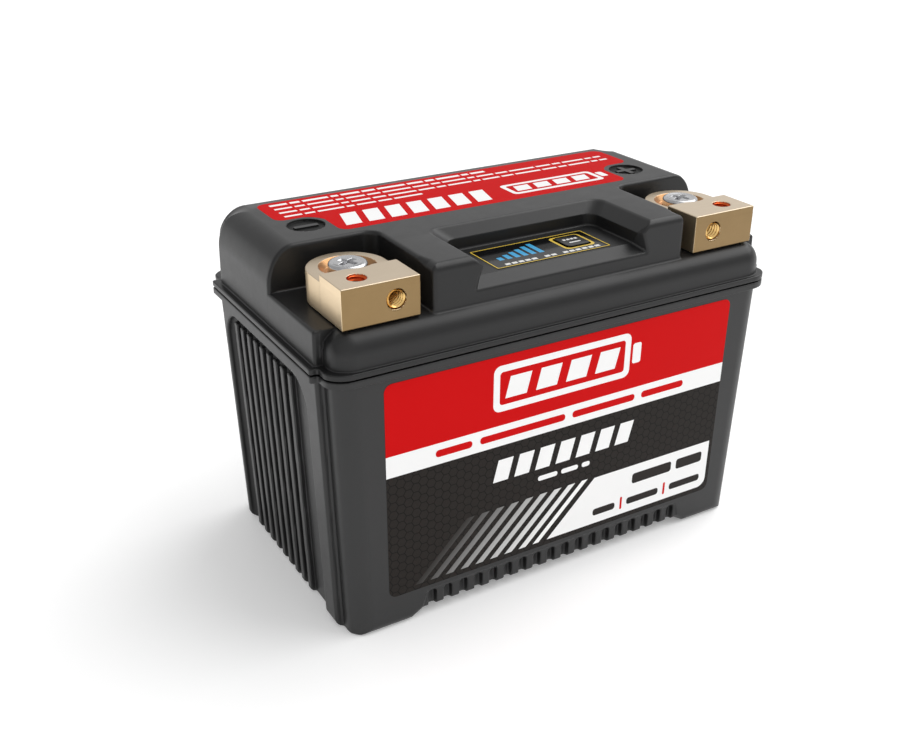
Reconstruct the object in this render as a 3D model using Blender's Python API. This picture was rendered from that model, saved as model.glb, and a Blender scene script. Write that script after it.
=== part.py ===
"""Lithium motorcycle battery, modelled as an assembly of separate pieces.

Metres, +Z up, +X to the positive terminal, the front face towards -Y.
The origin is at the centre of the bottom. Dimensions below are in millimetres
and MM turns them into metres.
"""
import math

import bmesh
import bpy
from mathutils import Vector

MM = 0.001
GAP = 0.3                    # air between neighbouring pieces
OVERCUT = 5.0                # how far cutters run past the surface they open

# Outside of the case and lid
HALF_LENGTH = 75.0           # flange, along X
HALF_DEPTH = 43.5            # flange, along Y
HEIGHT = 105.0
CORNER_RADIUS = 7.0          # arc at each end of the front and back
CORNER_START_X = 66.4        # where that arc leaves the flat front
NOTCH_X = 72.8               # side of the upright channel beside the end wall
RIB_Y = 35.7                 # where the end wall stops at the channel
FLANGE_OUT_X = 1.8           # how far the flange stands proud of the end wall
FLANGE_OUT_Y = 1.2
DRAFT_X = 2.0                # taper of the case walls from flange to base
DRAFT_Y = 0.4
BASE_FILLET = 4.0
FLANGE_BEVEL = 0.6           # height of the slope under the flange
CORNER_STEPS = 5

# Case
CASE_TOP = 81.1
CASE_FLANGE_BOTTOM = 79.3
CAVITY_X = 66.5
CAVITY_Y = 39.2
CAVITY_CHAMFER = 6.5
CASE_FLOOR = 4.0
RIM_LEDGE_Z = 77.6
RIM_LEDGE_STEP = 1.4
SEAL_INSET = 0.2
FOOT_INNER_X = 49.0          # the underside is raised between the two feet
FOOT_SLOPE = 2.4
RAISED_BASE = 2.2
COMB_COUNT = 17
COMB_PITCH = 5.17
COMB_RIB_WIDTH = 2.6
COMB_TOP = 8.6
COMB_DEPTH = 2.2
END_RECESS_HALF = 29.5
END_RECESS_Y = 2.5           # middle of the arch
END_RECESS_TOP = 75.0
END_RECESS_RADIUS = 9.0
END_RECESS_DEPTH = 0.9
END_SLOT_COUNT = 8
END_SLOT_PITCH = 4.99
END_SLOT_Y = 5.85            # middle of the row of slots
END_SLOT_WIDTH = 2.5
END_SLOT_TOP = 72.4
END_SLOT_DEPTH = 3.0

# Lid
LID_BOTTOM = 81.5
LID_FLANGE_TOP = 83.1
LID_WALL_FOOT = 83.5
SHOULDER_RADIUS = 11.5
SHOULDER_X = 72.7
BACK_RADIUS = 10.0
BACK_Y = 42.3
BLOCK_HALF_X = 41.1          # block between the two terminal pockets
BLOCK_FRONT_Y = -38.3
BLOCK_TOP_RADIUS = 2.4
SHELF_Z = 92.5               # pocket floor and top of the front shelf
NOSE_RADIUS_Y = 4.2
NOSE_RADIUS_Z = 6.0
NOSE_END_X = 71.0
NOSE_END_RADIUS = 6.0
NOSE_BACK_Y = -34.5
LID_DRAFT_X = 0.6            # taper of the lid walls from foot to top
LID_DRAFT_Y = 0.3
POCKET_BACK_Y = -5.5
POCKET_CORNER = 4.0
LID_SKIN = 2.4
TONGUE_DEPTH = 2.4
ROOF_SPRING_Z = 94.0         # inside, where the walls turn into the roof
ROOF_BACK_INSET = 6.5
MARK_X = 55.6
MARK_Y = 7.5
MARK_RADIUS = 5.3
MARK_DEPTH = 0.5
MARK_ARM = 3.4               # half length of the raised plus and minus bars
MARK_BAR = 0.75

# Display recess in the block
RECESS_FLOOR = 98.3
RECESS_FLOOR_X = 25.3
RECESS_TOP_X = 29.3
RECESS_BACK_Y = -15.4
RECESS_TOP_BACK_Y = -12.7
RECESS_BREAK_Z = 101.9       # upright below, sloping outwards above
RECESS_CORNER = 3.5
SILL_Y = -34.6               # where the floor starts to slope down to the front
SILL_FRONT_Z = 95.8
SILL_FRONT_X = 28.5          # the mouth flares sideways as it slopes down
OVERLAY_X = 18.7
OVERLAY_BACK_Y = -18.7
OVERLAY_FRONT_Y = -33.4
OVERLAY_THICKNESS = 0.3
BUTTON_X = 11.1
BUTTON_Y = -25.3
BUTTON_HALF = 3.9
BUTTON_TOP = 99.4
BUTTON_BOTTOM = 98.1
STEM_RADIUS = 1.8
STEM_BOTTOM = 95.4
BUTTON_CORNER = 1.2
BUTTON_ROOM = 0.5            # air round the moving button
DISPLAY_CEILING = 93.8       # underside of the thick lid under the display
DISPLAY_X0, DISPLAY_X1 = -15.6, 1.2
DISPLAY_Y0, DISPLAY_Y1 = -31.0, -21.0
INDICATOR_X = 25.0
INDICATOR_Y0, INDICATOR_Y1 = -34.0, -16.0
INDICATOR_TOP = 93.4
INDICATOR_THICKNESS = 1.2
DISPLAY_SCREW_X = 21.5
DISPLAY_SCREW_TOP = 96.8
DISPLAY_SCREW_RADIUS, DISPLAY_SCREW_HEAD = 1.0, 2.2
SWITCH_BASE_RADIUS, SWITCH_RADIUS = 3.7, 1.6
CABLE_X, CABLE_Y0, CABLE_Y1 = 6.0, -23.9, -23.3

# Terminals
TERMINAL_X0, TERMINAL_X1 = 45.0, 66.9
TERMINAL_FRONT_Y = -38.7
TERMINAL_STEP_Y = -25.9
TERMINAL_BOTTOM = 92.8
TERMINAL_TOP = 103.7
TERMINAL_DISC_TOP = 101.8
TERMINAL_DISC_Y = -19.5
SCREW_X, SCREW_Y = 55.7, -19.1
COUNTERBORE_RADIUS = 7.7
COUNTERBORE_FLOOR_RADIUS = 6.4
COUNTERBORE_FLOOR = 100.0
SCREW_HEAD_RADIUS = 5.2
SCREW_SHANK_RADIUS = 2.9
SCREW_BOTTOM = 84.6
TOP_HOLE_X, TOP_HOLE_Y = 59.7, -32.7
FRONT_HOLE_X, FRONT_HOLE_Z = 51.8, 98.4
TERMINAL_HOLE_RADIUS = 2.6
TERMINAL_HOLE_DEPTH = 9.5
CROSS_ARM, CROSS_HALF = 2.6, 0.6
CROSS_FLOOR = 1.3            # above the underside of the screw head
POST_RADIUS = 4.4
POST_FLANGE_RADIUS = 7.0
POST_FLANGE_THICKNESS = 2.5
POST_BOTTOM = 84.2
STRAP_THICKNESS = 0.8
STRAP_INNER_X, STRAP_FOOT_X, STRAP_HEAD_X = 51.1, 56.8, 61.5
STRAP_TOP = 83.9
STRAP_HALF_WIDTH = 5.0
LID_FLOOR_UNDERSIDE = SHELF_Z - LID_SKIN

# Labels
LABEL_HALF_X = 58.5
LABEL_BOTTOM, LABEL_TOP = 10.0, 77.5
LABEL_RADIUS = 2.4
LABEL_THICKNESS = 0.25
LABEL_POCKET = 0.5
TOP_LABEL_X = 60.6
TOP_LABEL_NARROW_X = 49.0
TOP_LABEL_BACK, TOP_LABEL_STEP, TOP_LABEL_FRONT = 31.0, 14.5, -1.8
TOP_LABEL_CORNER = 2.0

# Cell pack
CELL_RADIUS = 13.0
CELL_LENGTH = 65.4
CELL_BOTTOM = 8.4
CELL_PITCH = 28.0
CELL_SIDES = 20
HOLDER_HALF_X, HOLDER_HALF_Y = 57.0, 29.0
HOLDER_HOLE_RADIUS = 13.45
HOLDER_THICKNESS = 6.0
LOWER_HOLDER_Z = 9.6
UPPER_HOLDER_Z = 66.0
BUSBAR_THICKNESS = 0.5
BUSBAR_OVERLAP = 11.0        # past the centre of the last cell it joins
BUSBAR_HALF_WIDTH = 25.0
TOP_BUSBAR_Z = CELL_BOTTOM + CELL_LENGTH + GAP
BOTTOM_BUSBAR_Z = CELL_BOTTOM - GAP - BUSBAR_THICKNESS
BOARD_Z = 79.6
BOARD_THICKNESS = 1.6
BOARD_HALF_X, BOARD_HALF_Y = 50.0, 26.0
BOARD_SCREW_X = 28.0
BOARD_HOLE_RADIUS = 1.9
BOARD_SCREW_RADIUS, BOARD_SCREW_HEAD = 1.5, 3.0
SPACER_RADIUS = 3.2
INSULATION_Z = 75.0
INSULATION_THICKNESS = 0.5
INSULATION_X, INSULATION_Y = 49.5, 27.0
PAD_X, PAD_Y = 56.0, 28.0
SIDE_PAD_Y, SIDE_PAD_TOP = 26.0, 66.0
LEAD_RADIUS = 0.6
LEAD_START_Y, LEAD_FAR_Y, LEAD_END_Y = 25.9, 31.0, 26.9
LEAD_BEND = 1.5


# ---------------------------------------------------------------- materials

def make_material(name, color, roughness, metallic=0.0):
    material = bpy.data.materials.new(name)
    material.use_nodes = True
    shader = material.node_tree.nodes["Principled BSDF"]
    shader.inputs["Base Color"].default_value = (*color, 1.0)
    shader.inputs["Roughness"].default_value = roughness
    shader.inputs["Metallic"].default_value = metallic
    return material


# ---------------------------------------------------------------- mesh tools

def place(axis, u, v, w):
    """A point from outline coordinates u, v and height w along the axis."""
    if axis == "z":
        return Vector((u, v, w))
    if axis == "y":
        return Vector((u, w, v))
    return Vector((w, u, v))


def add_rings(mesh, rings):
    """A closed solid through rings of equal length, capped at both ends."""
    loops = []
    for ring in rings:
        loops.append([mesh.verts.new(point) for point in ring])
    count = len(rings[0])
    for lower, upper in zip(loops, loops[1:]):
        for i in range(count):
            j = (i + 1) % count
            mesh.faces.new((lower[i], lower[j], upper[j], upper[i]))
    mesh.faces.new(list(reversed(loops[0])))
    mesh.faces.new(loops[-1])


def add_prism(mesh, outline, axis, low, high):
    add_rings(mesh, [[place(axis, u, v, w) for u, v in outline] for w in (low, high)])


def add_box(mesh, x0, x1, y0, y1, z0, z1):
    add_prism(mesh, [(x0, y0), (x1, y0), (x1, y1), (x0, y1)], "z", z0, z1)


def add_turned(mesh, profile, centre, sides, axis="z"):
    """A turned solid from (radius, height) pairs around an axis through centre."""
    rings = []
    for radius, height in profile:
        ring = []
        for i in range(sides):
            angle = 2 * math.pi * i / sides
            u = radius * math.cos(angle)
            v = radius * math.sin(angle)
            ring.append(Vector(centre) + place(axis, u, v, height))
        rings.append(ring)
    add_rings(mesh, rings)


def rounded_rectangle(x0, x1, y0, y1, radius, steps=4):
    corners = [(x1 - radius, y1 - radius, 0), (x0 + radius, y1 - radius, 90),
               (x0 + radius, y0 + radius, 180), (x1 - radius, y0 + radius, 270)]
    outline = []
    for cx, cy, start in corners:
        for step in range(steps + 1):
            angle = math.radians(start + 90 * step / steps)
            outline.append((cx + radius * math.cos(angle), cy + radius * math.sin(angle)))
    return outline


def make_object(name, mesh, material, smooth=False, origin=(0, 0, 0)):
    """An object in metres, with its origin at the given point in millimetres."""
    bmesh.ops.translate(mesh, verts=mesh.verts, vec=-Vector(origin))
    bmesh.ops.scale(mesh, verts=mesh.verts, vec=(MM, MM, MM))
    bmesh.ops.recalc_face_normals(mesh, faces=mesh.faces)
    data = bpy.data.meshes.new(name)
    mesh.to_mesh(data)
    mesh.free()
    if smooth:
        data.shade_smooth()
        data.set_sharp_from_angle(angle=math.radians(35))
    thing = bpy.data.objects.new(name, data)
    thing.location = Vector(origin) * MM
    bpy.context.collection.objects.link(thing)
    if material:
        data.materials.append(material)
    return thing


def attach(thing, parent):
    thing.parent = parent
    return thing


def use_cutter(target, name, mesh, operation="DIFFERENCE"):
    """Cut, or intersect, the target with a hidden solid."""
    guide = make_object(name, mesh, None)
    guide.hide_render = True
    guide.display_type = "WIRE"
    modifier = target.modifiers.new(name, "BOOLEAN")
    modifier.operation = operation
    modifier.solver = "EXACT"
    modifier.object = guide


# ---------------------------------------------------------------- case

def plan_ring(inset_x, inset_y, z):
    """The plan outline that case and lid share, pulled in from the flange."""
    centre_y = HALF_DEPTH - CORNER_RADIUS
    last = math.acos((NOTCH_X - CORNER_START_X) / CORNER_RADIUS)
    quarter = [(HALF_LENGTH, RIB_Y), (NOTCH_X, RIB_Y)]
    for step in range(CORNER_STEPS + 1):
        angle = last + (math.pi / 2 - last) * step / CORNER_STEPS
        x = CORNER_START_X + CORNER_RADIUS * math.cos(angle)
        quarter.append((x, centre_y + CORNER_RADIUS * math.sin(angle)))
    quarter = [(x - inset_x, y - inset_y) for x, y in quarter]
    outline = list(quarter)
    outline += [(-x, y) for x, y in reversed(quarter)]
    outline += [(-x, -y) for x, y in quarter]
    outline += [(x, -y) for x, y in reversed(quarter)]
    return [Vector((x, y, z)) for x, y in outline]


def cavity_ring(grow, z):
    x = CAVITY_X + grow
    y = CAVITY_Y + grow
    c = CAVITY_CHAMFER
    outline = [(x, y - c), (x - c, y), (c - x, y), (-x, y - c),
               (-x, c - y), (c - x, -y), (x - c, -y), (x, c - y)]
    return [Vector((px, py, z)) for px, py in outline]


def make_case(material):
    mesh = bmesh.new()
    rings = []
    fillet_steps = 4
    for step in range(fillet_steps + 1):
        angle = math.pi / 2 * step / fillet_steps
        inward = BASE_FILLET * (1 - math.sin(angle))
        z = BASE_FILLET * (1 - math.cos(angle))
        rings.append(plan_ring(FLANGE_OUT_X + DRAFT_X + inward, FLANGE_OUT_Y + DRAFT_Y + inward, z))
    rings.append(plan_ring(FLANGE_OUT_X, FLANGE_OUT_Y, CASE_FLANGE_BOTTOM - FLANGE_BEVEL))
    rings.append(plan_ring(0, 0, CASE_FLANGE_BOTTOM))
    rings.append(plan_ring(0, 0, CASE_TOP))
    add_rings(mesh, rings)
    case = make_object("case", mesh, material)

    mesh = bmesh.new()
    over = CASE_TOP + OVERCUT
    add_rings(mesh, [cavity_ring(0, CASE_FLOOR), cavity_ring(0, RIM_LEDGE_Z),
                     cavity_ring(RIM_LEDGE_STEP, RIM_LEDGE_Z), cavity_ring(RIM_LEDGE_STEP, over)])
    use_cutter(case, "case_cavity", mesh)

    mesh = bmesh.new()
    deep = HALF_DEPTH + OVERCUT
    slope = FOOT_INNER_X - FOOT_SLOPE
    arch = [(-FOOT_INNER_X, -OVERCUT), (FOOT_INNER_X, -OVERCUT), (FOOT_INNER_X, 0),
            (slope, RAISED_BASE), (-slope, RAISED_BASE), (-FOOT_INNER_X, 0)]
    add_prism(mesh, arch, "y", -deep, deep)
    use_cutter(case, "foot_arch", mesh)

    mesh = bmesh.new()
    wall = HALF_DEPTH - FLANGE_OUT_Y
    gap = COMB_PITCH - COMB_RIB_WIDTH
    for side in (-1, 1):
        for i in range(COMB_COUNT + 1):
            x = (i - COMB_COUNT / 2) * COMB_PITCH
            low, high = sorted((side * (wall - COMB_DEPTH), side * (wall + OVERCUT)))
            add_box(mesh, x - gap / 2, x + gap / 2, low, high, -OVERCUT, COMB_TOP)
    use_cutter(case, "comb_gaps", mesh)

    mesh = bmesh.new()
    wall = HALF_LENGTH - FLANGE_OUT_X
    half = END_RECESS_HALF
    arch = rounded_rectangle(END_RECESS_Y - half, END_RECESS_Y + half,
                             -2 * END_RECESS_RADIUS, END_RECESS_TOP, END_RECESS_RADIUS)
    for side in (-1, 1):
        # The recess floor leans with the wall, so its depth stays the same.
        rings = []
        for x in (wall - END_RECESS_DEPTH, wall + OVERCUT):
            ring = []
            for y, z in arch:
                lean = DRAFT_X * (END_RECESS_TOP - z) / END_RECESS_TOP
                ring.append(Vector((side * (x - lean), y, z)))
            rings.append(ring)
        add_rings(mesh, rings)
    use_cutter(case, "end_recesses", mesh)

    mesh = bmesh.new()
    for side in (-1, 1):
        for i in range(END_SLOT_COUNT):
            y = END_SLOT_Y + (i - (END_SLOT_COUNT - 1) / 2) * END_SLOT_PITCH
            low, high = y - END_SLOT_WIDTH / 2, y + END_SLOT_WIDTH / 2
            x = wall - END_RECESS_DEPTH - END_SLOT_DEPTH
            profile = [(x - DRAFT_X, -OVERCUT), (wall + OVERCUT, -OVERCUT),
                       (wall + OVERCUT, END_SLOT_TOP), (x, END_SLOT_TOP)]
            rings = []
            for y_side in (low, high):
                rings.append([Vector((side * px, y_side, pz)) for px, pz in profile])
            add_rings(mesh, rings)
    use_cutter(case, "end_slots", mesh)

    mesh = bmesh.new()
    pocket = rounded_rectangle(-LABEL_HALF_X - GAP, LABEL_HALF_X + GAP,
                               LABEL_BOTTOM - GAP, LABEL_TOP + GAP, LABEL_RADIUS)
    front = -(HALF_DEPTH - FLANGE_OUT_Y)
    add_prism(mesh, pocket, "y", front - OVERCUT, front + LABEL_POCKET + DRAFT_Y)
    use_cutter(case, "label_pocket", mesh)
    return case


# ---------------------------------------------------------------- lid

def lid_profile_ends():
    """Outline in X and Z with the rounded left and right shoulders."""
    radius = SHOULDER_RADIUS
    centre_x = SHOULDER_X - SHOULDER_RADIUS
    centre_z = HEIGHT - SHOULDER_RADIUS
    right = [(HALF_LENGTH + OVERCUT, LID_BOTTOM - OVERCUT), (HALF_LENGTH + OVERCUT, LID_WALL_FOOT)]
    right.append((SHOULDER_X + LID_DRAFT_X, LID_WALL_FOOT))
    for step in range(7):
        angle = math.pi / 2 * step / 6
        right.append((centre_x + radius * math.cos(angle), centre_z + radius * math.sin(angle)))
    return right + [(-x, z) for x, z in reversed(right)]


def lid_profile_side():
    """Outline in Y and Z: rounded back, block front and the rolled front shelf."""
    far = HALF_DEPTH + OVERCUT
    outline = [(-far, LID_BOTTOM - OVERCUT), (far, LID_BOTTOM - OVERCUT),
               (far, LID_WALL_FOOT), (BACK_Y, LID_WALL_FOOT)]
    for step in range(6):
        angle = math.pi / 2 * step / 5
        outline.append((BACK_Y - BACK_RADIUS + BACK_RADIUS * math.cos(angle),
                        HEIGHT - BACK_RADIUS + BACK_RADIUS * math.sin(angle)))
    radius = BLOCK_TOP_RADIUS
    for step in range(4):
        angle = math.pi / 2 * (1 + step / 3)
        outline.append((BLOCK_FRONT_Y + radius + radius * math.cos(angle),
                        HEIGHT - radius + radius * math.sin(angle)))
    for step in range(5):
        angle = math.pi / 2 * (1 + step / 4)
        outline.append((BLOCK_FRONT_Y + NOSE_RADIUS_Y * math.cos(angle),
                        SHELF_Z - NOSE_RADIUS_Z + NOSE_RADIUS_Z * math.sin(angle)))
    outline.append((BLOCK_FRONT_Y - NOSE_RADIUS_Y, LID_WALL_FOOT))
    outline.append((-far, LID_WALL_FOOT))
    return outline


def pocket_outline(side):
    """Plan of the cut that leaves the pocket, with a rounded inner corner."""
    r = POCKET_CORNER
    far_x, far_y = HALF_LENGTH + OVERCUT, -HALF_DEPTH - OVERCUT
    outline = [(BLOCK_HALF_X, far_y), (far_x, far_y), (far_x, POCKET_BACK_Y)]
    for step in range(4):
        angle = math.pi / 2 * (1 + step / 3)
        outline.append((BLOCK_HALF_X + r + r * math.cos(angle),
                        POCKET_BACK_Y - r + r * math.sin(angle)))
    return [(side * x, y) for x, y in outline]


def nose_end_outline(side):
    """What is taken off above the rounded end of the front shelf, in X and Z."""
    centre_x = NOSE_END_X - NOSE_END_RADIUS
    centre_z = SHELF_Z - NOSE_END_RADIUS
    outline = [(centre_x, SHELF_Z + 1), (HALF_LENGTH, SHELF_Z + 1), (HALF_LENGTH, centre_z)]
    for step in range(5):
        angle = math.pi / 2 * step / 4
        outline.append((centre_x + NOSE_END_RADIUS * math.cos(angle),
                        centre_z + NOSE_END_RADIUS * math.sin(angle)))
    return [(side * x, z) for x, z in outline]


def recess_ring(half_x, back_y, z):
    r = RECESS_CORNER
    front = -HALF_DEPTH - OVERCUT
    return [Vector((half_x, front, z)), Vector((half_x, back_y - r, z)),
            Vector((half_x - r, back_y, z)), Vector((r - half_x, back_y, z)),
            Vector((-half_x, back_y - r, z)), Vector((-half_x, front, z))]


def cut_display_recess(lid):
    mesh = bmesh.new()
    add_rings(mesh, [recess_ring(RECESS_FLOOR_X, RECESS_BACK_Y, RECESS_FLOOR),
                     recess_ring(RECESS_FLOOR_X, RECESS_BACK_Y, RECESS_BREAK_Z),
                     recess_ring(RECESS_TOP_X, RECESS_TOP_BACK_Y, HEIGHT),
                     recess_ring(RECESS_TOP_X + 1, RECESS_TOP_BACK_Y + 1, HEIGHT + 1)])
    use_cutter(lid, "display_recess", mesh)
    # The mouth: from the floor's front edge it widens and drops to the block's front.
    mesh = bmesh.new()
    stretch = 1.8
    front_x = RECESS_FLOOR_X + (SILL_FRONT_X - RECESS_FLOOR_X) * stretch
    front_y = SILL_Y + (BLOCK_FRONT_Y - SILL_Y) * stretch
    front_z = RECESS_FLOOR + (SILL_FRONT_Z - RECESS_FLOOR) * stretch
    rings = []
    for x, y, z in ((RECESS_FLOOR_X, SILL_Y, RECESS_FLOOR), (front_x, front_y, front_z)):
        rings.append([Vector((-x, y, z)), Vector((x, y, z)),
                      Vector((x, y, HEIGHT + 1)), Vector((-x, y, HEIGHT + 1))])
    add_rings(mesh, rings)
    use_cutter(lid, "display_mouth", mesh)
    mesh = bmesh.new()
    window = BUTTON_HALF + BUTTON_ROOM
    add_box(mesh, BUTTON_X - window, BUTTON_X + window, BUTTON_Y - window, BUTTON_Y + window,
            BUTTON_BOTTOM - 3 * GAP, RECESS_FLOOR + 1)
    add_box(mesh, DISPLAY_X0, DISPLAY_X1, DISPLAY_Y0, DISPLAY_Y1,
            DISPLAY_CEILING - 2, RECESS_FLOOR + 1)
    use_cutter(lid, "display_windows", mesh)
    mesh = bmesh.new()
    bore = STEM_RADIUS + BUTTON_ROOM
    add_turned(mesh, [(bore, DISPLAY_CEILING - OVERCUT), (bore, BUTTON_BOTTOM)],
               (BUTTON_X, BUTTON_Y, 0), 12)
    use_cutter(lid, "stem_hole", mesh)


def cut_lid_inside(lid):
    mesh = bmesh.new()
    low = LID_BOTTOM - OVERCUT
    add_rings(mesh, [cavity_ring(0, low), cavity_ring(0, LID_FLOOR_UNDERSIDE)])
    use_cutter(lid, "lid_cavity_low", mesh)
    mesh = bmesh.new()
    wall = CAVITY_X + 1
    slope = SHOULDER_X - SHOULDER_RADIUS
    top = HEIGHT - LID_SKIN
    right = [(wall, low), (wall, ROOF_SPRING_Z), (slope + 3, top - 1.6), (slope - 2, top)]
    roof = right + [(-x, z) for x, z in reversed(right)]
    add_prism(mesh, roof, "y", POCKET_BACK_Y + LID_SKIN, CAVITY_Y - ROOF_BACK_INSET)
    use_cutter(lid, "lid_cavity_high", mesh)
    mesh = bmesh.new()
    half = BLOCK_HALF_X - LID_SKIN
    add_box(mesh, -half, half, BLOCK_FRONT_Y + LID_SKIN, POCKET_BACK_Y + 4,
            low, DISPLAY_CEILING)
    use_cutter(lid, "lid_cavity_display", mesh)
    mesh = bmesh.new()
    room = BUTTON_HALF + GAP
    add_box(mesh, BUTTON_X - room, BUTTON_X + room, BUTTON_Y - room, BUTTON_Y + room,
            DISPLAY_CEILING - 1, STEM_BOTTOM)
    screw_bore = DISPLAY_SCREW_RADIUS + GAP
    post_bore = POST_RADIUS + GAP
    for side in (-1, 1):
        add_turned(mesh, [(screw_bore, DISPLAY_CEILING - 1), (screw_bore, DISPLAY_SCREW_TOP + GAP)],
                   (side * DISPLAY_SCREW_X, BUTTON_Y, 0), 8)
        add_turned(mesh, [(post_bore, LID_BOTTOM), (post_bore, SHELF_Z + 2)],
                   (side * SCREW_X, SCREW_Y, 0), 16)
    use_cutter(lid, "lid_holes", mesh)


def make_lid(material):
    mesh = bmesh.new()
    rings = [plan_ring(0, 0, LID_BOTTOM), plan_ring(0, 0, LID_FLANGE_TOP),
             plan_ring(FLANGE_OUT_X, FLANGE_OUT_Y, LID_WALL_FOOT),
             plan_ring(FLANGE_OUT_X + LID_DRAFT_X, FLANGE_OUT_Y + LID_DRAFT_Y, HEIGHT)]
    add_rings(mesh, rings)
    lid = make_object("lid", mesh, material)

    mesh = bmesh.new()
    add_prism(mesh, lid_profile_ends(), "y", -HALF_DEPTH - 2 * OVERCUT, HALF_DEPTH + 2 * OVERCUT)
    use_cutter(lid, "shoulder_shape", mesh, "INTERSECT")
    mesh = bmesh.new()
    add_prism(mesh, lid_profile_side(), "x", -HALF_LENGTH - 2 * OVERCUT, HALF_LENGTH + 2 * OVERCUT)
    use_cutter(lid, "side_shape", mesh, "INTERSECT")

    mesh = bmesh.new()
    for side in (-1, 1):
        add_prism(mesh, pocket_outline(side), "z", SHELF_Z, HEIGHT + OVERCUT)
    use_cutter(lid, "terminal_pockets", mesh)
    mesh = bmesh.new()
    for side in (-1, 1):
        add_prism(mesh, nose_end_outline(side), "y", -HALF_DEPTH - OVERCUT, NOSE_BACK_Y)
    use_cutter(lid, "nose_ends", mesh)

    mesh = bmesh.new()
    tongue_bottom = LID_BOTTOM - TONGUE_DEPTH
    outer = RIM_LEDGE_STEP - GAP
    add_rings(mesh, [cavity_ring(outer, tongue_bottom), cavity_ring(outer, LID_BOTTOM + 1)])
    use_cutter(lid, "tongue", mesh, "UNION")

    cut_lid_inside(lid)
    cut_display_recess(lid)

    mesh = bmesh.new()
    for side in (-1, 1):
        add_turned(mesh, [(MARK_RADIUS, HEIGHT - MARK_DEPTH), (MARK_RADIUS, HEIGHT + 1)],
                   (side * MARK_X, MARK_Y, 0), 20)
    use_cutter(lid, "polarity_discs", mesh)
    mesh = bmesh.new()
    low = HEIGHT - MARK_DEPTH - 1
    high = HEIGHT - MARK_DEPTH / 2
    for side in (-1, 1):
        x = side * MARK_X
        add_box(mesh, x - MARK_ARM, x + MARK_ARM, MARK_Y - MARK_BAR, MARK_Y + MARK_BAR, low, high)
    use_cutter(lid, "polarity_bars", mesh, "UNION")
    mesh = bmesh.new()
    add_box(mesh, MARK_X - MARK_BAR, MARK_X + MARK_BAR, MARK_Y - MARK_ARM, MARK_Y + MARK_ARM, low, high)
    use_cutter(lid, "polarity_plus", mesh, "UNION")
    mesh = bmesh.new()
    add_prism(mesh, top_label_outline(GAP), "z", HEIGHT - LABEL_POCKET, HEIGHT + 1)
    use_cutter(lid, "top_label_pocket", mesh)
    return lid


def make_seam_seal(material):
    mesh = bmesh.new()
    low = RIM_LEDGE_Z + GAP
    high = LID_BOTTOM - TONGUE_DEPTH - GAP
    outer = RIM_LEDGE_STEP - GAP
    add_rings(mesh, [cavity_ring(outer, low), cavity_ring(outer, high)])
    seal = make_object("seam_seal", mesh, material)
    mesh = bmesh.new()
    add_rings(mesh, [cavity_ring(SEAL_INSET, low - 1), cavity_ring(SEAL_INSET, high + 1)])
    use_cutter(seal, "seal_inside", mesh)
    return seal


# ---------------------------------------------------------------- labels and display

def top_label_outline(grow):
    wide = TOP_LABEL_X + grow
    narrow = TOP_LABEL_NARROW_X + grow
    back = TOP_LABEL_BACK + grow
    step = TOP_LABEL_STEP - grow
    front = TOP_LABEL_FRONT - grow
    c = TOP_LABEL_CORNER
    right = [(narrow - c, front), (narrow, front + c), (narrow, step), (wide, step),
             (wide, back - c), (wide - c, back)]
    return right + [(-x, y) for x, y in reversed(right)]


def make_labels(material_front, material_top, material_overlay):
    mesh = bmesh.new()
    front = -(HALF_DEPTH - FLANGE_OUT_Y) + LABEL_POCKET + DRAFT_Y - GAP
    outline = rounded_rectangle(-LABEL_HALF_X, LABEL_HALF_X, LABEL_BOTTOM, LABEL_TOP, LABEL_RADIUS)
    add_prism(mesh, outline, "y", front - LABEL_THICKNESS, front)
    front_label = make_object("front_label", mesh, material_front)

    mesh = bmesh.new()
    low = HEIGHT - LABEL_POCKET + GAP
    add_prism(mesh, top_label_outline(0), "z", low, low + LABEL_THICKNESS)
    top_label = make_object("top_label", mesh, material_top)

    mesh = bmesh.new()
    low = RECESS_FLOOR + GAP
    add_box(mesh, -OVERLAY_X, OVERLAY_X, OVERLAY_FRONT_Y, OVERLAY_BACK_Y,
            low, low + OVERLAY_THICKNESS)
    overlay = make_object("display_overlay", mesh, material_overlay)
    mesh = bmesh.new()
    window = BUTTON_HALF + GAP
    add_box(mesh, BUTTON_X - window, BUTTON_X + window, BUTTON_Y - window, BUTTON_Y + window,
            low - 1, low + 2)
    use_cutter(overlay, "button_window", mesh)
    return [front_label, top_label, overlay]


def make_test_button(material):
    mesh = bmesh.new()
    half = BUTTON_HALF
    cap = rounded_rectangle(BUTTON_X - half, BUTTON_X + half, BUTTON_Y - half, BUTTON_Y + half,
                            BUTTON_CORNER, 2)
    add_prism(mesh, cap, "z", BUTTON_BOTTOM, BUTTON_TOP)
    button = make_object("test_button", mesh, material, origin=(BUTTON_X, BUTTON_Y, BUTTON_TOP))
    mesh = bmesh.new()
    add_turned(mesh, [(STEM_RADIUS, STEM_BOTTOM), (STEM_RADIUS, BUTTON_BOTTOM + 0.6)],
               (BUTTON_X, BUTTON_Y, 0), 12)
    use_cutter(button, "button_stem", mesh, "UNION")
    return button


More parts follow.
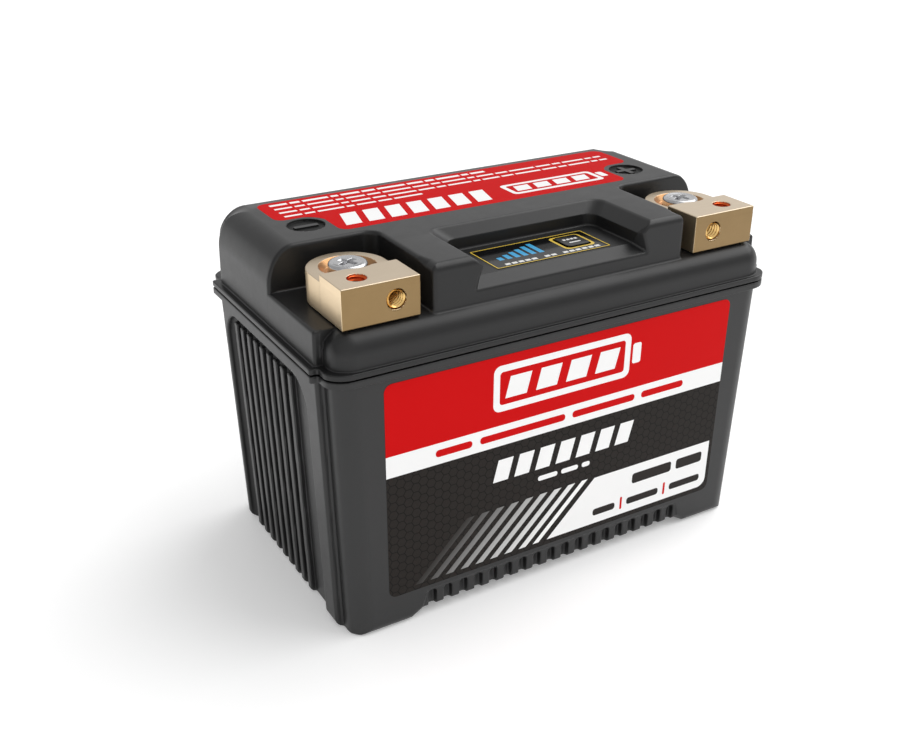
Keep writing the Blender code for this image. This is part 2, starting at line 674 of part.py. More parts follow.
def make_display_parts(board_material, chip_material, glass_material, steel):
    pieces = []
    mesh = bmesh.new()
    top = INDICATOR_TOP
    bottom = INDICATOR_TOP - INDICATOR_THICKNESS
    outline = rounded_rectangle(-INDICATOR_X, INDICATOR_X, INDICATOR_Y0, INDICATOR_Y1, 1.5, 2)
    add_prism(mesh, outline, "z", bottom, top)
    board = make_object("indicator_board", mesh, board_material)
    mesh = bmesh.new()
    bore = DISPLAY_SCREW_RADIUS + GAP
    for side in (-1, 1):
        add_turned(mesh, [(bore, bottom - 1), (bore, top + 1)],
                   (side * DISPLAY_SCREW_X, BUTTON_Y, 0), 8)
    use_cutter(board, "indicator_board_holes", mesh)
    pieces.append(board)

    mesh = bmesh.new()
    low = top + GAP
    add_box(mesh, DISPLAY_X0 + GAP, DISPLAY_X1 - GAP, DISPLAY_Y0 + GAP, DISPLAY_Y1 - GAP,
            low, RECESS_FLOOR)
    pieces.append(make_object("charge_display", mesh, glass_material))

    mesh = bmesh.new()
    base_top = low + 0.8
    switch_top = STEM_BOTTOM - 1.5 * GAP
    profile = [(SWITCH_BASE_RADIUS, low), (SWITCH_BASE_RADIUS, base_top),
               (SWITCH_RADIUS, base_top), (SWITCH_RADIUS, switch_top)]
    add_turned(mesh, profile, (BUTTON_X, BUTTON_Y, 0), 12)
    pieces.append(make_object("tact_switch", mesh, chip_material))

    under = bottom - GAP
    for side, name in ((-1, "display_screw_left"), (1, "display_screw_right")):
        mesh = bmesh.new()
        profile = [(DISPLAY_SCREW_HEAD, under - 1.2), (DISPLAY_SCREW_HEAD, under),
                   (DISPLAY_SCREW_RADIUS, under), (DISPLAY_SCREW_RADIUS, DISPLAY_SCREW_TOP)]
        add_turned(mesh, profile, (side * DISPLAY_SCREW_X, BUTTON_Y, 0), 8)
        pieces.append(make_object(name, mesh, steel))

    mesh = bmesh.new()
    add_box(mesh, -CABLE_X, CABLE_X, CABLE_Y0, CABLE_Y1, BOARD_Z + BOARD_THICKNESS + GAP, under)
    pieces.append(make_object("indicator_cable", mesh, chip_material))
    return pieces


# ---------------------------------------------------------------- terminals

def terminal_outline(side):
    outline = [(TERMINAL_X1, TERMINAL_FRONT_Y)]
    centre = (TERMINAL_X0 + TERMINAL_X1) / 2
    radius = (TERMINAL_X1 - TERMINAL_X0) / 2
    steps = 14
    for step in range(steps + 1):
        angle = math.pi * step / steps
        outline.append((centre + radius * math.cos(angle),
                        TERMINAL_DISC_Y + radius * math.sin(angle)))
    outline.append((TERMINAL_X0, TERMINAL_FRONT_Y))
    return [(side * x, y) for x, y in outline]


def make_terminal(name, side, brass):
    mesh = bmesh.new()
    add_prism(mesh, terminal_outline(side), "z", TERMINAL_BOTTOM, TERMINAL_TOP)
    terminal = make_object(name, mesh, brass)
    mesh = bmesh.new()
    low, high = sorted((side * (TERMINAL_X0 - OVERCUT), side * (TERMINAL_X1 + OVERCUT)))
    add_box(mesh, low, high, TERMINAL_STEP_Y, 0, TERMINAL_DISC_TOP, TERMINAL_TOP + OVERCUT)
    use_cutter(terminal, name + "_step", mesh)
    mesh = bmesh.new()
    bore = SCREW_SHANK_RADIUS + GAP
    add_turned(mesh, [(bore, TERMINAL_BOTTOM - OVERCUT), (bore, COUNTERBORE_FLOOR),
                      (COUNTERBORE_FLOOR_RADIUS, COUNTERBORE_FLOOR),
                      (COUNTERBORE_RADIUS, TERMINAL_DISC_TOP),
                      (COUNTERBORE_RADIUS, TERMINAL_TOP + OVERCUT)],
               (side * SCREW_X, SCREW_Y, 0), 20)
    add_turned(mesh, [(TERMINAL_HOLE_RADIUS, TERMINAL_TOP - TERMINAL_HOLE_DEPTH),
                      (TERMINAL_HOLE_RADIUS, TERMINAL_TOP + OVERCUT)],
               (side * TOP_HOLE_X, TOP_HOLE_Y, 0), 16)
    add_turned(mesh, [(TERMINAL_HOLE_RADIUS, TERMINAL_FRONT_Y - OVERCUT),
                      (TERMINAL_HOLE_RADIUS, TERMINAL_FRONT_Y + TERMINAL_HOLE_DEPTH)],
               (side * FRONT_HOLE_X, 0, FRONT_HOLE_Z), 16, axis="y")
    use_cutter(terminal, name + "_holes", mesh)
    return terminal


def make_terminal_screw(name, side, steel):
    mesh = bmesh.new()
    head = COUNTERBORE_FLOOR + GAP
    profile = [(SCREW_SHANK_RADIUS, SCREW_BOTTOM), (SCREW_SHANK_RADIUS, head),
               (SCREW_HEAD_RADIUS, head), (SCREW_HEAD_RADIUS, head + 1.5),
               (SCREW_HEAD_RADIUS - 0.9, head + 2.4), (SCREW_HEAD_RADIUS - 2.6, head + 2.9)]
    add_turned(mesh, profile, (side * SCREW_X, SCREW_Y, 0), 20)
    screw = make_object(name, mesh, steel, smooth=True)
    mesh = bmesh.new()
    # One arm of the cross, turned four times.
    cross = []
    for turn in range(4):
        c, s = round(math.cos(turn * math.pi / 2)), round(math.sin(turn * math.pi / 2))
        for u, v in ((CROSS_ARM, -CROSS_HALF), (CROSS_ARM, CROSS_HALF), (CROSS_HALF, CROSS_HALF)):
            cross.append((side * SCREW_X + c * u - s * v, SCREW_Y + s * u + c * v))
    add_prism(mesh, cross, "z", head + CROSS_FLOOR, head + OVERCUT)
    use_cutter(screw, name + "_recess", mesh)
    return screw


def make_terminal_post(name, side, brass):
    mesh = bmesh.new()
    flange_top = LID_FLOOR_UNDERSIDE - GAP
    flange_bottom = flange_top - POST_FLANGE_THICKNESS
    profile = [(POST_RADIUS, POST_BOTTOM), (POST_RADIUS, flange_bottom),
               (POST_FLANGE_RADIUS, flange_bottom), (POST_FLANGE_RADIUS, flange_top),
               (POST_RADIUS, flange_top), (POST_RADIUS, SHELF_Z)]
    add_turned(mesh, profile, (side * SCREW_X, SCREW_Y, 0), 16)
    post = make_object(name, mesh, brass, smooth=True)
    mesh = bmesh.new()
    bore = SCREW_SHANK_RADIUS + GAP
    add_turned(mesh, [(bore, POST_BOTTOM - 1), (bore, SHELF_Z + 1)],
               (side * SCREW_X, SCREW_Y, 0), 16)
    use_cutter(post, name + "_bore", mesh)
    return post


def make_strap(name, side, copper):
    """A C-shaped copper strap from the post down to the end busbar."""
    mesh = bmesh.new()
    low = TOP_BUSBAR_Z + BUSBAR_THICKNESS + GAP
    low_inside = low + STRAP_THICKNESS
    high_inside = STRAP_TOP - STRAP_THICKNESS
    web = STRAP_INNER_X + STRAP_THICKNESS
    outline = [(STRAP_INNER_X, low), (STRAP_FOOT_X, low), (STRAP_FOOT_X, low_inside),
               (web, low_inside), (web, high_inside), (STRAP_HEAD_X, high_inside),
               (STRAP_HEAD_X, STRAP_TOP), (STRAP_INNER_X, STRAP_TOP)]
    outline = [(side * x, z) for x, z in outline]
    add_prism(mesh, outline, "y", SCREW_Y - STRAP_HALF_WIDTH, SCREW_Y + STRAP_HALF_WIDTH)
    return make_object(name, mesh, copper)


# ---------------------------------------------------------------- cell pack

def cell_centres():
    for column in range(4):
        for row in range(2):
            yield column, ((column - 1.5) * CELL_PITCH, (row - 0.5) * CELL_PITCH)


def make_cells(material):
    pieces = []
    profile = [(CELL_RADIUS - 0.7, 0), (CELL_RADIUS, 0.7), (CELL_RADIUS, CELL_LENGTH - 1.4),
               (CELL_RADIUS - 0.9, CELL_LENGTH - 0.8), (5.0, CELL_LENGTH - 0.8), (4.7, CELL_LENGTH)]
    for number, (column, (x, y)) in enumerate(cell_centres(), start=1):
        turned_over = column % 2 == 0
        heights = profile
        if turned_over:
            heights = [(radius, CELL_LENGTH - z) for radius, z in profile]
        mesh = bmesh.new()
        add_turned(mesh, heights, (0, 0, 0), CELL_SIDES)
        bmesh.ops.translate(mesh, verts=mesh.verts, vec=(x, y, CELL_BOTTOM))
        pieces.append(make_object(f"cell_{number}", mesh, material, smooth=True,
                                  origin=(x, y, CELL_BOTTOM)))
    return pieces


def add_board_screw_bores(mesh, low, high):
    for side in (-1, 1):
        add_turned(mesh, [(BOARD_HOLE_RADIUS, low - 2), (BOARD_HOLE_RADIUS, high + 2)],
                   (side * BOARD_SCREW_X, 0, 0), 8)


def make_holder(name, z, material):
    mesh = bmesh.new()
    outline = rounded_rectangle(-HOLDER_HALF_X, HOLDER_HALF_X, -HOLDER_HALF_Y, HOLDER_HALF_Y, 4.0, 2)
    high = z + HOLDER_THICKNESS
    add_prism(mesh, outline, "z", z, high)
    holder = make_object(name, mesh, material)
    mesh = bmesh.new()
    for _, (x, y) in cell_centres():
        add_turned(mesh, [(HOLDER_HOLE_RADIUS, z - 2), (HOLDER_HOLE_RADIUS, high + 2)],
                   (x, y, 0), CELL_SIDES)
    add_board_screw_bores(mesh, z, high)
    use_cutter(holder, name + "_holes", mesh)
    return holder


def make_busbars(nickel):
    pieces = []
    outer, inner = CELL_PITCH * 1.5, CELL_PITCH * 0.5
    over = BUSBAR_OVERLAP
    bars = [("busbar_top_negative", TOP_BUSBAR_Z, -HOLDER_HALF_X, -outer + over),
            ("busbar_top_middle", TOP_BUSBAR_Z, -inner - over, inner + over),
            ("busbar_top_positive", TOP_BUSBAR_Z, outer - over, HOLDER_HALF_X),
            ("busbar_bottom_left", BOTTOM_BUSBAR_Z, -outer - over, -inner + over),
            ("busbar_bottom_right", BOTTOM_BUSBAR_Z, inner - over, outer + over)]
    for name, z, x0, x1 in bars:
        mesh = bmesh.new()
        outline = rounded_rectangle(x0, x1, -BUSBAR_HALF_WIDTH, BUSBAR_HALF_WIDTH, 3.0, 2)
        add_prism(mesh, outline, "z", z, z + BUSBAR_THICKNESS)
        pieces.append(make_object(name, mesh, nickel))
    return pieces


def make_padding(foam, paper):
    pieces = []
    floor = CASE_FLOOR + GAP
    mesh = bmesh.new()
    add_prism(mesh, rounded_rectangle(-PAD_X, PAD_X, -PAD_Y, PAD_Y, 2.0, 2), "z",
              floor, BOTTOM_BUSBAR_Z - GAP)
    pieces.append(make_object("foam_bottom", mesh, foam))
    for side, name in ((-1, "foam_left"), (1, "foam_right")):
        mesh = bmesh.new()
        low, high = sorted((side * (HOLDER_HALF_X + GAP), side * (CAVITY_X - GAP)))
        outline = rounded_rectangle(low, high, -SIDE_PAD_Y, SIDE_PAD_Y, 1.5, 2)
        add_prism(mesh, outline, "z", floor, SIDE_PAD_TOP)
        pieces.append(make_object(name, mesh, foam))
    mesh = bmesh.new()
    top = INSULATION_Z + INSULATION_THICKNESS
    outline = rounded_rectangle(-INSULATION_X, INSULATION_X, -INSULATION_Y, INSULATION_Y, 2.0, 2)
    add_prism(mesh, outline, "z", INSULATION_Z, top)
    sheet = make_object("insulation_sheet", mesh, paper)
    mesh = bmesh.new()
    add_board_screw_bores(mesh, INSULATION_Z, top)
    use_cutter(sheet, "insulation_holes", mesh)
    pieces.append(sheet)
    return pieces


def make_balance_board(board_material, chip_material, steel, white):
    pieces = []
    mesh = bmesh.new()
    outline = rounded_rectangle(-BOARD_HALF_X, BOARD_HALF_X, -BOARD_HALF_Y, BOARD_HALF_Y, 2.0, 2)
    add_prism(mesh, outline, "z", BOARD_Z, BOARD_Z + BOARD_THICKNESS)
    board = make_object("balance_board", mesh, board_material)
    mesh = bmesh.new()
    add_board_screw_bores(mesh, BOARD_Z, BOARD_Z + BOARD_THICKNESS)
    use_cutter(board, "balance_board_holes", mesh)
    pieces.append(board)

    # name, centre, length, width, height, material
    top = BOARD_Z + BOARD_THICKNESS + GAP
    chips = [("balance_connector", (0, 18), 16, 6, 5.5, white),
             ("control_chip", (-10, 4), 10, 10, 1.6, chip_material),
             ("mosfet_left", (-38, 8), 10, 14, 4.0, chip_material),
             ("mosfet_right", (38, 8), 10, 14, 4.0, chip_material)]
    for name, (x, y), length, width, height, material in chips:
        mesh = bmesh.new()
        add_box(mesh, x - length / 2, x + length / 2, y - width / 2, y + width / 2,
                top, top + height)
        pieces.append(make_object(name, mesh, material))
    mesh = bmesh.new()
    radius, height, rounding = 4.0, 7.4, 0.4
    profile = [(radius - rounding, top), (radius, top + rounding),
               (radius, top + height - rounding), (radius - rounding, top + height)]
    add_turned(mesh, profile, (14, 2, 0), 12)
    pieces.append(make_object("capacitor", mesh, chip_material, smooth=True))

    spacer_low = INSULATION_Z + INSULATION_THICKNESS + GAP
    spacer_high = BOARD_Z - GAP
    screw_low = UPPER_HOLDER_Z + 1
    for side, end in ((-1, "left"), (1, "right")):
        centre = (side * BOARD_SCREW_X, 0, 0)
        mesh = bmesh.new()
        add_turned(mesh, [(SPACER_RADIUS, spacer_low), (SPACER_RADIUS, spacer_high)], centre, 12)
        spacer = make_object("board_spacer_" + end, mesh, white)
        mesh = bmesh.new()
        add_turned(mesh, [(BOARD_HOLE_RADIUS, spacer_low - 1), (BOARD_HOLE_RADIUS, spacer_high + 1)],
                   centre, 8)
        use_cutter(spacer, "spacer_bore_" + end, mesh)
        pieces.append(spacer)
        mesh = bmesh.new()
        profile = [(BOARD_SCREW_RADIUS, screw_low), (BOARD_SCREW_RADIUS, top),
                   (BOARD_SCREW_HEAD, top), (BOARD_SCREW_HEAD, top + 1.2),
                   (BOARD_SCREW_HEAD - 0.8, top + 1.9)]
        add_turned(mesh, profile, centre, 10)
        pieces.append(make_object("board_screw_" + end, mesh, steel))
    return pieces


def make_balance_leads(material):
    """Five thin leads behind the pack, from the busbars up to the board's rear edge."""
    pieces = []
    outer = CELL_PITCH * 1.5
    top_z = TOP_BUSBAR_Z + BUSBAR_THICKNESS / 2
    bottom_z = BOTTOM_BUSBAR_Z + BUSBAR_THICKNESS / 2
    starts = [(-outer, top_z), (-CELL_PITCH, bottom_z), (0, top_z),
              (CELL_PITCH, bottom_z), (outer, top_z)]
    end_z = BOARD_Z + BOARD_THICKNESS / 2
    far = LEAD_FAR_Y
    for number, (x, z) in enumerate(starts, start=1):
        curve = bpy.data.curves.new(f"balance_lead_{number}", "CURVE")
        curve.dimensions = "3D"
        curve.bevel_depth = LEAD_RADIUS * MM
        curve.bevel_resolution = 0
        curve.use_fill_caps = True
        route = [(x, LEAD_START_Y, z), (x, far - LEAD_BEND, z), (x, far, z + LEAD_BEND),
                 (x, far, end_z - LEAD_BEND), (x, far - LEAD_BEND, end_z), (x, LEAD_END_Y, end_z)]
        spline = curve.splines.new("POLY")
        spline.points.add(len(route) - 1)
        for point, corner in zip(spline.points, route):
            point.co = (*[value * MM for value in corner], 1.0)
        curve.materials.append(material)
        lead = bpy.data.objects.new(curve.name, curve)
        bpy.context.collection.objects.link(lead)
        pieces.append(lead)
    return pieces


# ---------------------------------------------------------------- assembly

def main():
    for thing in list(bpy.data.objects):
        bpy.data.objects.remove(thing, do_unlink=True)

    black = make_material("black_abs", (0.035, 0.035, 0.036), 0.45)
    rubber = make_material("seal_rubber", (0.01, 0.01, 0.01), 0.8)
    red = make_material("label_red", (0.62, 0.01, 0.012), 0.35)
    red_top = make_material("top_label_red", (0.62, 0.01, 0.012), 0.35)
    film = make_material("display_film", (0.01, 0.01, 0.012), 0.12)
    button_film = make_material("button_film", (0.012, 0.012, 0.012), 0.3)
    brass = make_material("terminal_brass", (0.55, 0.42, 0.24), 0.38, 1.0)
    post_brass = make_material("post_brass", (0.6, 0.44, 0.2), 0.35, 1.0)
    steel = make_material("screw_steel", (0.6, 0.6, 0.6), 0.2, 1.0)
    copper = make_material("strap_copper", (0.72, 0.3, 0.16), 0.3, 1.0)
    sleeve = make_material("cell_sleeve", (0.05, 0.16, 0.45), 0.35)
    holder = make_material("holder_plastic", (0.05, 0.05, 0.055), 0.6)
    nickel = make_material("busbar_nickel", (0.62, 0.6, 0.56), 0.3, 1.0)
    foam = make_material("foam_grey", (0.18, 0.18, 0.19), 0.95)
    paper = make_material("insulation_paper", (0.45, 0.52, 0.4), 0.9)
    board = make_material("board_green", (0.02, 0.18, 0.06), 0.4)
    chip = make_material("chip_black", (0.02, 0.02, 0.02), 0.5)
    white = make_material("connector_white", (0.8, 0.78, 0.7), 0.5)
    glass = make_material("display_glass", (0.03, 0.04, 0.05), 0.1)
    lead = make_material("lead_insulation", (0.6, 0.05, 0.04), 0.5)

    battery = bpy.data.objects.new("battery", None)
    cell_pack = bpy.data.objects.new("cell_pack", None)
    for empty in (battery, cell_pack):
        bpy.context.collection.objects.link(empty)
    cell_pack.parent = battery

    outer = [make_case(black), make_lid(black), make_seam_seal(rubber)]
    outer += make_labels(red, red_top, film)
    outer.append(make_test_button(button_film))
    outer += make_display_parts(board, chip, glass, steel)
    for side, end in ((-1, "negative"), (1, "positive")):
        outer.append(make_terminal("terminal_" + end, side, brass))
        outer.append(make_terminal_screw("terminal_screw_" + end, side, steel))
        outer.append(make_terminal_post("terminal_post_" + end, side, post_brass))
        outer.append(make_strap("strap_" + end, side, copper))
    for thing in outer:
        attach(thing, battery)

    pack = make_cells(sleeve)
    pack.append(make_holder("cell_holder_lower", LOWER_HOLDER_Z, holder))
    pack.append(make_holder("cell_holder_upper", UPPER_HOLDER_Z, holder))
    pack += make_busbars(nickel)
    pack += make_padding(foam, paper)
    pack += make_balance_board(board, chip, steel, white)
    pack += make_balance_leads(lead)
    for thing in pack:
        attach(thing, cell_pack)


main()
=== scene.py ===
"""Lithium motorcycle battery: the visual model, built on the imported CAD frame.

Lengths are in millimetres until make_mesh(), net_mesh() and the materials turn them
into metres. The case, lid, terminal blocks, screws and button are described as distance
fields and meshed, so that their edges and blends are really rounded.
"""
import math

import bmesh
import bpy
import numpy as np
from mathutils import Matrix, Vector


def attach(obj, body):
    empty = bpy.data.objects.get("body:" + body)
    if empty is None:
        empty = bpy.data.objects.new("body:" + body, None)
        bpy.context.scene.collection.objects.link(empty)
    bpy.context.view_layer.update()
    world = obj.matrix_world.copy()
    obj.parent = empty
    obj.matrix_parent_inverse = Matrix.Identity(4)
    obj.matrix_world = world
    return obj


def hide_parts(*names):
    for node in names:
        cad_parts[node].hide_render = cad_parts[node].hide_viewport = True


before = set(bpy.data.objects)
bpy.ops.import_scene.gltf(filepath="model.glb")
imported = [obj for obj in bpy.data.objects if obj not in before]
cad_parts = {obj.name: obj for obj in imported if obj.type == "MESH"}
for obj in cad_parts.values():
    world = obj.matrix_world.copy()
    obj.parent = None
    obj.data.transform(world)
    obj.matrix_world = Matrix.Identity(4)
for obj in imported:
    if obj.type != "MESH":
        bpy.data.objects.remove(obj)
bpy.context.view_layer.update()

MM = 0.001
BODY = "battery_body"
BUTTON = "test_button"


# ---------------------------------------------------------------- distance fields

def join(a, b, r):
    """Union of two fields, with a fillet of radius r where they meet."""
    return np.maximum(np.minimum(a, b), r) - np.hypot(np.maximum(r - a, 0), np.maximum(r - b, 0))


def meet(a, b, r):
    """Intersection of two fields, with an edge rounded to radius r."""
    return np.minimum(np.maximum(a, b), -r) + np.hypot(np.maximum(a + r, 0), np.maximum(b + r, 0))


def cut(a, b, r):
    """Field a less field b, with the new edge rounded to radius r."""
    return meet(a, -b, r)


def blocks(value, count, pitch):
    """Distance from the nearest of count evenly spaced centres."""
    index = np.clip(np.round(value / pitch + (count - 1) / 2), 0, count - 1)
    return np.abs(value - (index - (count - 1) / 2) * pitch)


HALF_LENGTH = 75.0
HALF_DEPTH = 43.5
STEP_X, STEP_Y = 72.8, 35.7  # where each end wall steps back beside its corners
OUT_X, OUT_Y = 1.8, 1.2      # how far the flanges stand proud of the walls
CASE_TOP = 81.1
LID_BOTTOM = 81.5
SHELF_TOP = 92.5
RECESS_FLOOR = 98.3
LID_TOP = 105.0
WALL_TOP = 78.7              # where the draft of the case wall ends, under its flange
FOOT_HEIGHT = 2.2
DEPTH_DRAFT = 0.4            # how far the front and back lean in down to the bottom
RIB_CENTRE, RIB_PITCH = 5.85, 4.99
COMB_PITCH = 5.17
MARK_X, MARK_Y = 55.6, 7.5   # centre of each polarity disc
BLOCK_X = 55.95              # centre line of each terminal block
BLOCK_LEVELS = (92.8, 100.0, 101.8, 103.7)    # bottom, counterbore, low top, high top
SCREW_X, SCREW_Y = 55.7, -19.1
TOP_HOLE_X, TOP_HOLE_Y = 59.7, -32.7
FRONT_HOLE_X, FRONT_HOLE_Z = 51.8, 98.4
BUTTON_X, BUTTON_Y = 11.1, -25.3
BUTTON_TOP = 98.85


def corner(ax, ay):
    """Plan of the rounded corners: 7 mm radius round (66.4, 36.5)."""
    past = np.maximum(ax - 66.4, 0)
    return np.where(ay > 36.5, np.hypot(past, ay - 36.5), past) - 7.0


def plan(ax, ay, edge=0.8, inner=0.7):
    """Plan of the flanges: end walls that stand proud, and rounded corners beside them."""
    end = meet(ax - HALF_LENGTH, ay - STEP_Y, edge)
    return join(end, meet(ax - STEP_X, corner(ax, ay), 0.5), inner)


def case_field(x, y, z):
    ax, ay = np.abs(x), np.abs(y)
    low = np.clip((WALL_TOP - z) / WALL_TOP, 0, 1)
    flare = np.clip((z - WALL_TOP) / 0.6, 0, 1)
    inset_x = OUT_X * (1 - flare) + 2.0 * low
    inset_y = OUT_Y * (1 - flare) + DEPTH_DRAFT * low
    shell = plan(ax + inset_x, ay + inset_y)

    # The shallow arch in each end wall, with nine upright ribs and the slots between them.
    end = ax + inset_x - HALF_LENGTH
    qy, qz = np.abs(y - 2.5) - 20.5, z - 66.0
    arch = np.hypot(np.maximum(qy, 0), np.maximum(qz, 0)) + np.minimum(np.maximum(qy, qz), 0) - 9.0
    shell = meet(shell, join(-arch, end + 2.2, 1.3), 0.6)
    rib = blocks(y - RIB_CENTRE, 9, RIB_PITCH) - 1.15
    rib = meet(meet(rib, z - 72.6, 0.7), end + 0.7, 0.25)
    shell = join(shell, rib, 0.2)
    slot = meet(blocks(y - RIB_CENTRE, 8, RIB_PITCH) - 1.35, z - 71.4, 0.6)
    shell = meet(shell, join(-slot, end + 4.2, 0.4), 0.15)

    # The comb between the feet, along the bottom of the front and back.
    side = ay + inset_y - HALF_DEPTH
    band = meet(ax - 45.6 - 0.3 * (8.8 - z), z - 8.8, 1.2)
    shell = meet(shell, join(-band, side + 0.3, 0.3), 0.3)
    gap = meet(blocks(x, 18, COMB_PITCH) - 1.35, z - 8.3, 1.0)
    shell = meet(shell, join(-gap, side + 2.25, 0.5), 0.25)

    # Between the feet the bottom is higher, and its outer edges are rounded.
    lift = FOOT_HEIGHT * np.clip((50.6 - ax) / 3.7, 0, 1)
    shell = meet(shell, lift - z, 0.7)
    shell = np.maximum(shell, meet(side, lift - z, 2.6))
    shell = np.maximum(shell, meet(end, -z, 3.0))
    return meet(shell, z - CASE_TOP, 0.35)


def recess_field(x, y, z):
    """The display recess: upright walls that break outwards, and a sloping mouth."""
    ax = np.abs(x)
    above = np.maximum(z - 101.9, 0)
    forward = np.maximum(-34.6 - y, 0)
    flare = np.maximum(-34.6 - y - 0.55 * (z - RECESS_FLOOR), 0)
    half = 25.3 + above * 1.29 + flare * 0.63
    back = -15.4 + above * 0.87
    floor = RECESS_FLOOR - forward * 0.676
    walls = meet((ax - half) * 0.8, (y - back) * 0.82, 3.2)
    return meet(walls, (floor - z) * 0.9, 0.5)


def lid_field(x, y, z):
    ax, ay = np.abs(x), np.abs(y)
    flange = meet(plan(ax, ay), np.abs(z - 82.3) - 0.8, 0.35)
    lean = np.clip((z - 83.5) / 21.5, 0, 1)
    lean_x, lean_y = OUT_X + 0.6 * lean, OUT_Y + 0.3 * lean
    wx, wy = ax + lean_x, ay + lean_y
    rear = y > 0
    walls = plan(wx, wy, np.where(rear, 2.5, 0.8), np.where(rear, 2.5, 0.7))
    nose = meet(meet(wx - STEP_X, corner(wx, wy), 1.5), z - SHELF_TOP, 6.0)
    shelf = np.maximum(meet(walls, z - SHELF_TOP, 0.9), -34.5 - y)
    lower = np.minimum(nose, shelf)

    # The high part: shoulders at the ends and the back, less the terminal pockets.
    shoulders = plan(wx, np.maximum(y, 0) + lean_y, 2.5, 2.5)
    shoulders = meet(shoulders, z - LID_TOP, 10.6)
    block = meet(ax - 41.1, -38.3 - y, 1.2)
    region = join(-5.5 - y, block, 4.0)
    soft = 1.0 + 1.3 * np.clip((-30.0 - y) / 4.0, 0, 1)
    upper = meet(shoulders, region, soft)
    upper = cut(upper, recess_field(x, y, z), 0.45)

    # A sunken disc for each polarity mark.
    disc = np.maximum(np.hypot(ax - MARK_X, y - MARK_Y) - 5.3, 104.35 - z)
    upper = cut(upper, disc, 0.12)

    # The fillet between the two fades out where their outer walls are the same wall.
    clear = np.clip(71.5 - ax, 0, 1) * np.clip(38.0 - y, 0, 1)
    whole = join(lower, upper, 0.01 + 0.59 * clear)
    return np.maximum(join(whole, flange, 0.3), LID_BOTTOM - z)


def terminal_field(x, y, z):
    """Terminal block: raised in front, round behind, with a counterbore and two holes."""
    bottom, counterbore, low_top, high_top = BLOCK_LEVELS
    ax = np.abs(x)
    round_end = np.hypot(ax - BLOCK_X, np.maximum(y + 19.5, 0)) - 10.95
    outline = meet(round_end, -38.7 - y, 0.25)
    low = meet(outline, z - low_top, 0.2)
    high = meet(meet(outline, z - high_top, 0.25), y + 25.9, 0.2)
    metal = meet(join(low, high, 0.15), bottom - z, 0.25)
    reach = np.hypot(ax - SCREW_X, y - SCREW_Y)
    cone = (reach - 6.4 - np.clip((z - counterbore) * 0.72, 0, 1.3)) * 0.9
    metal = cut(metal, meet(cone, counterbore - z, 0.2), 0.15)
    metal = cut(metal, reach - 3.2, 0.1)
    top_hole = meet(np.hypot(ax - TOP_HOLE_X, y - TOP_HOLE_Y) - 2.6, 94.2 - z, 0.2)
    metal = cut(metal, top_hole, 0.22)
    front_hole = meet(np.hypot(ax - FRONT_HOLE_X, z - FRONT_HOLE_Z) - 2.75, y + 29.2, 0.2)
    return cut(metal, front_hole, 0.25)


def screw_field(x, y, z):
    """Pan-head screw with a cross recess; x and y from its own axis."""
    reach = np.hypot(x, y)
    crown = z - 103.2 + 0.012 * reach ** 2 + 0.3 * np.clip((4.4 - reach) / 0.9, 0, 1)
    head = meet(meet(reach - 5.3, crown, 0.9), 100.3 - z, 0.2)
    c, s = math.cos(0.45), math.sin(0.45)
    u, v = np.abs(c * x + s * y), np.abs(c * y - s * x)
    deep = np.clip((z - 100.9) / 2.0, 0, 1)
    arm = np.minimum(np.maximum(u - 1.3 - 1.6 * deep, v - 0.5 - 0.3 * deep),
                     np.maximum(v - 1.3 - 1.6 * deep, u - 0.5 - 0.3 * deep))
    head = cut(head, np.maximum(arm, 101.2 - z), 0.15)
    shank = np.maximum(reach - 2.9, 84.6 - z)
    return np.minimum(head, np.maximum(shank, z - 100.5))


# ---------------------------------------------------------------- meshing

def steps(*runs):
    """Grid lines from (start, end, pitch) runs laid end to end."""
    lines = []
    for start, end, pitch in runs:
        count = max(1, round((end - start) / pitch))
        lines.extend(np.linspace(start, end, count, endpoint=False))
    lines.append(runs[-1][1])
    return np.array(lines)


def gradient(field, p):
    """Central differences of a field at the points p."""
    h = 0.01
    g = np.empty_like(p)
    for axis in range(3):
        a, b = p.copy(), p.copy()
        a[:, axis] += h
        b[:, axis] -= h
        g[:, axis] = (field(*a.T) - field(*b.T)) / (2 * h)
    return g


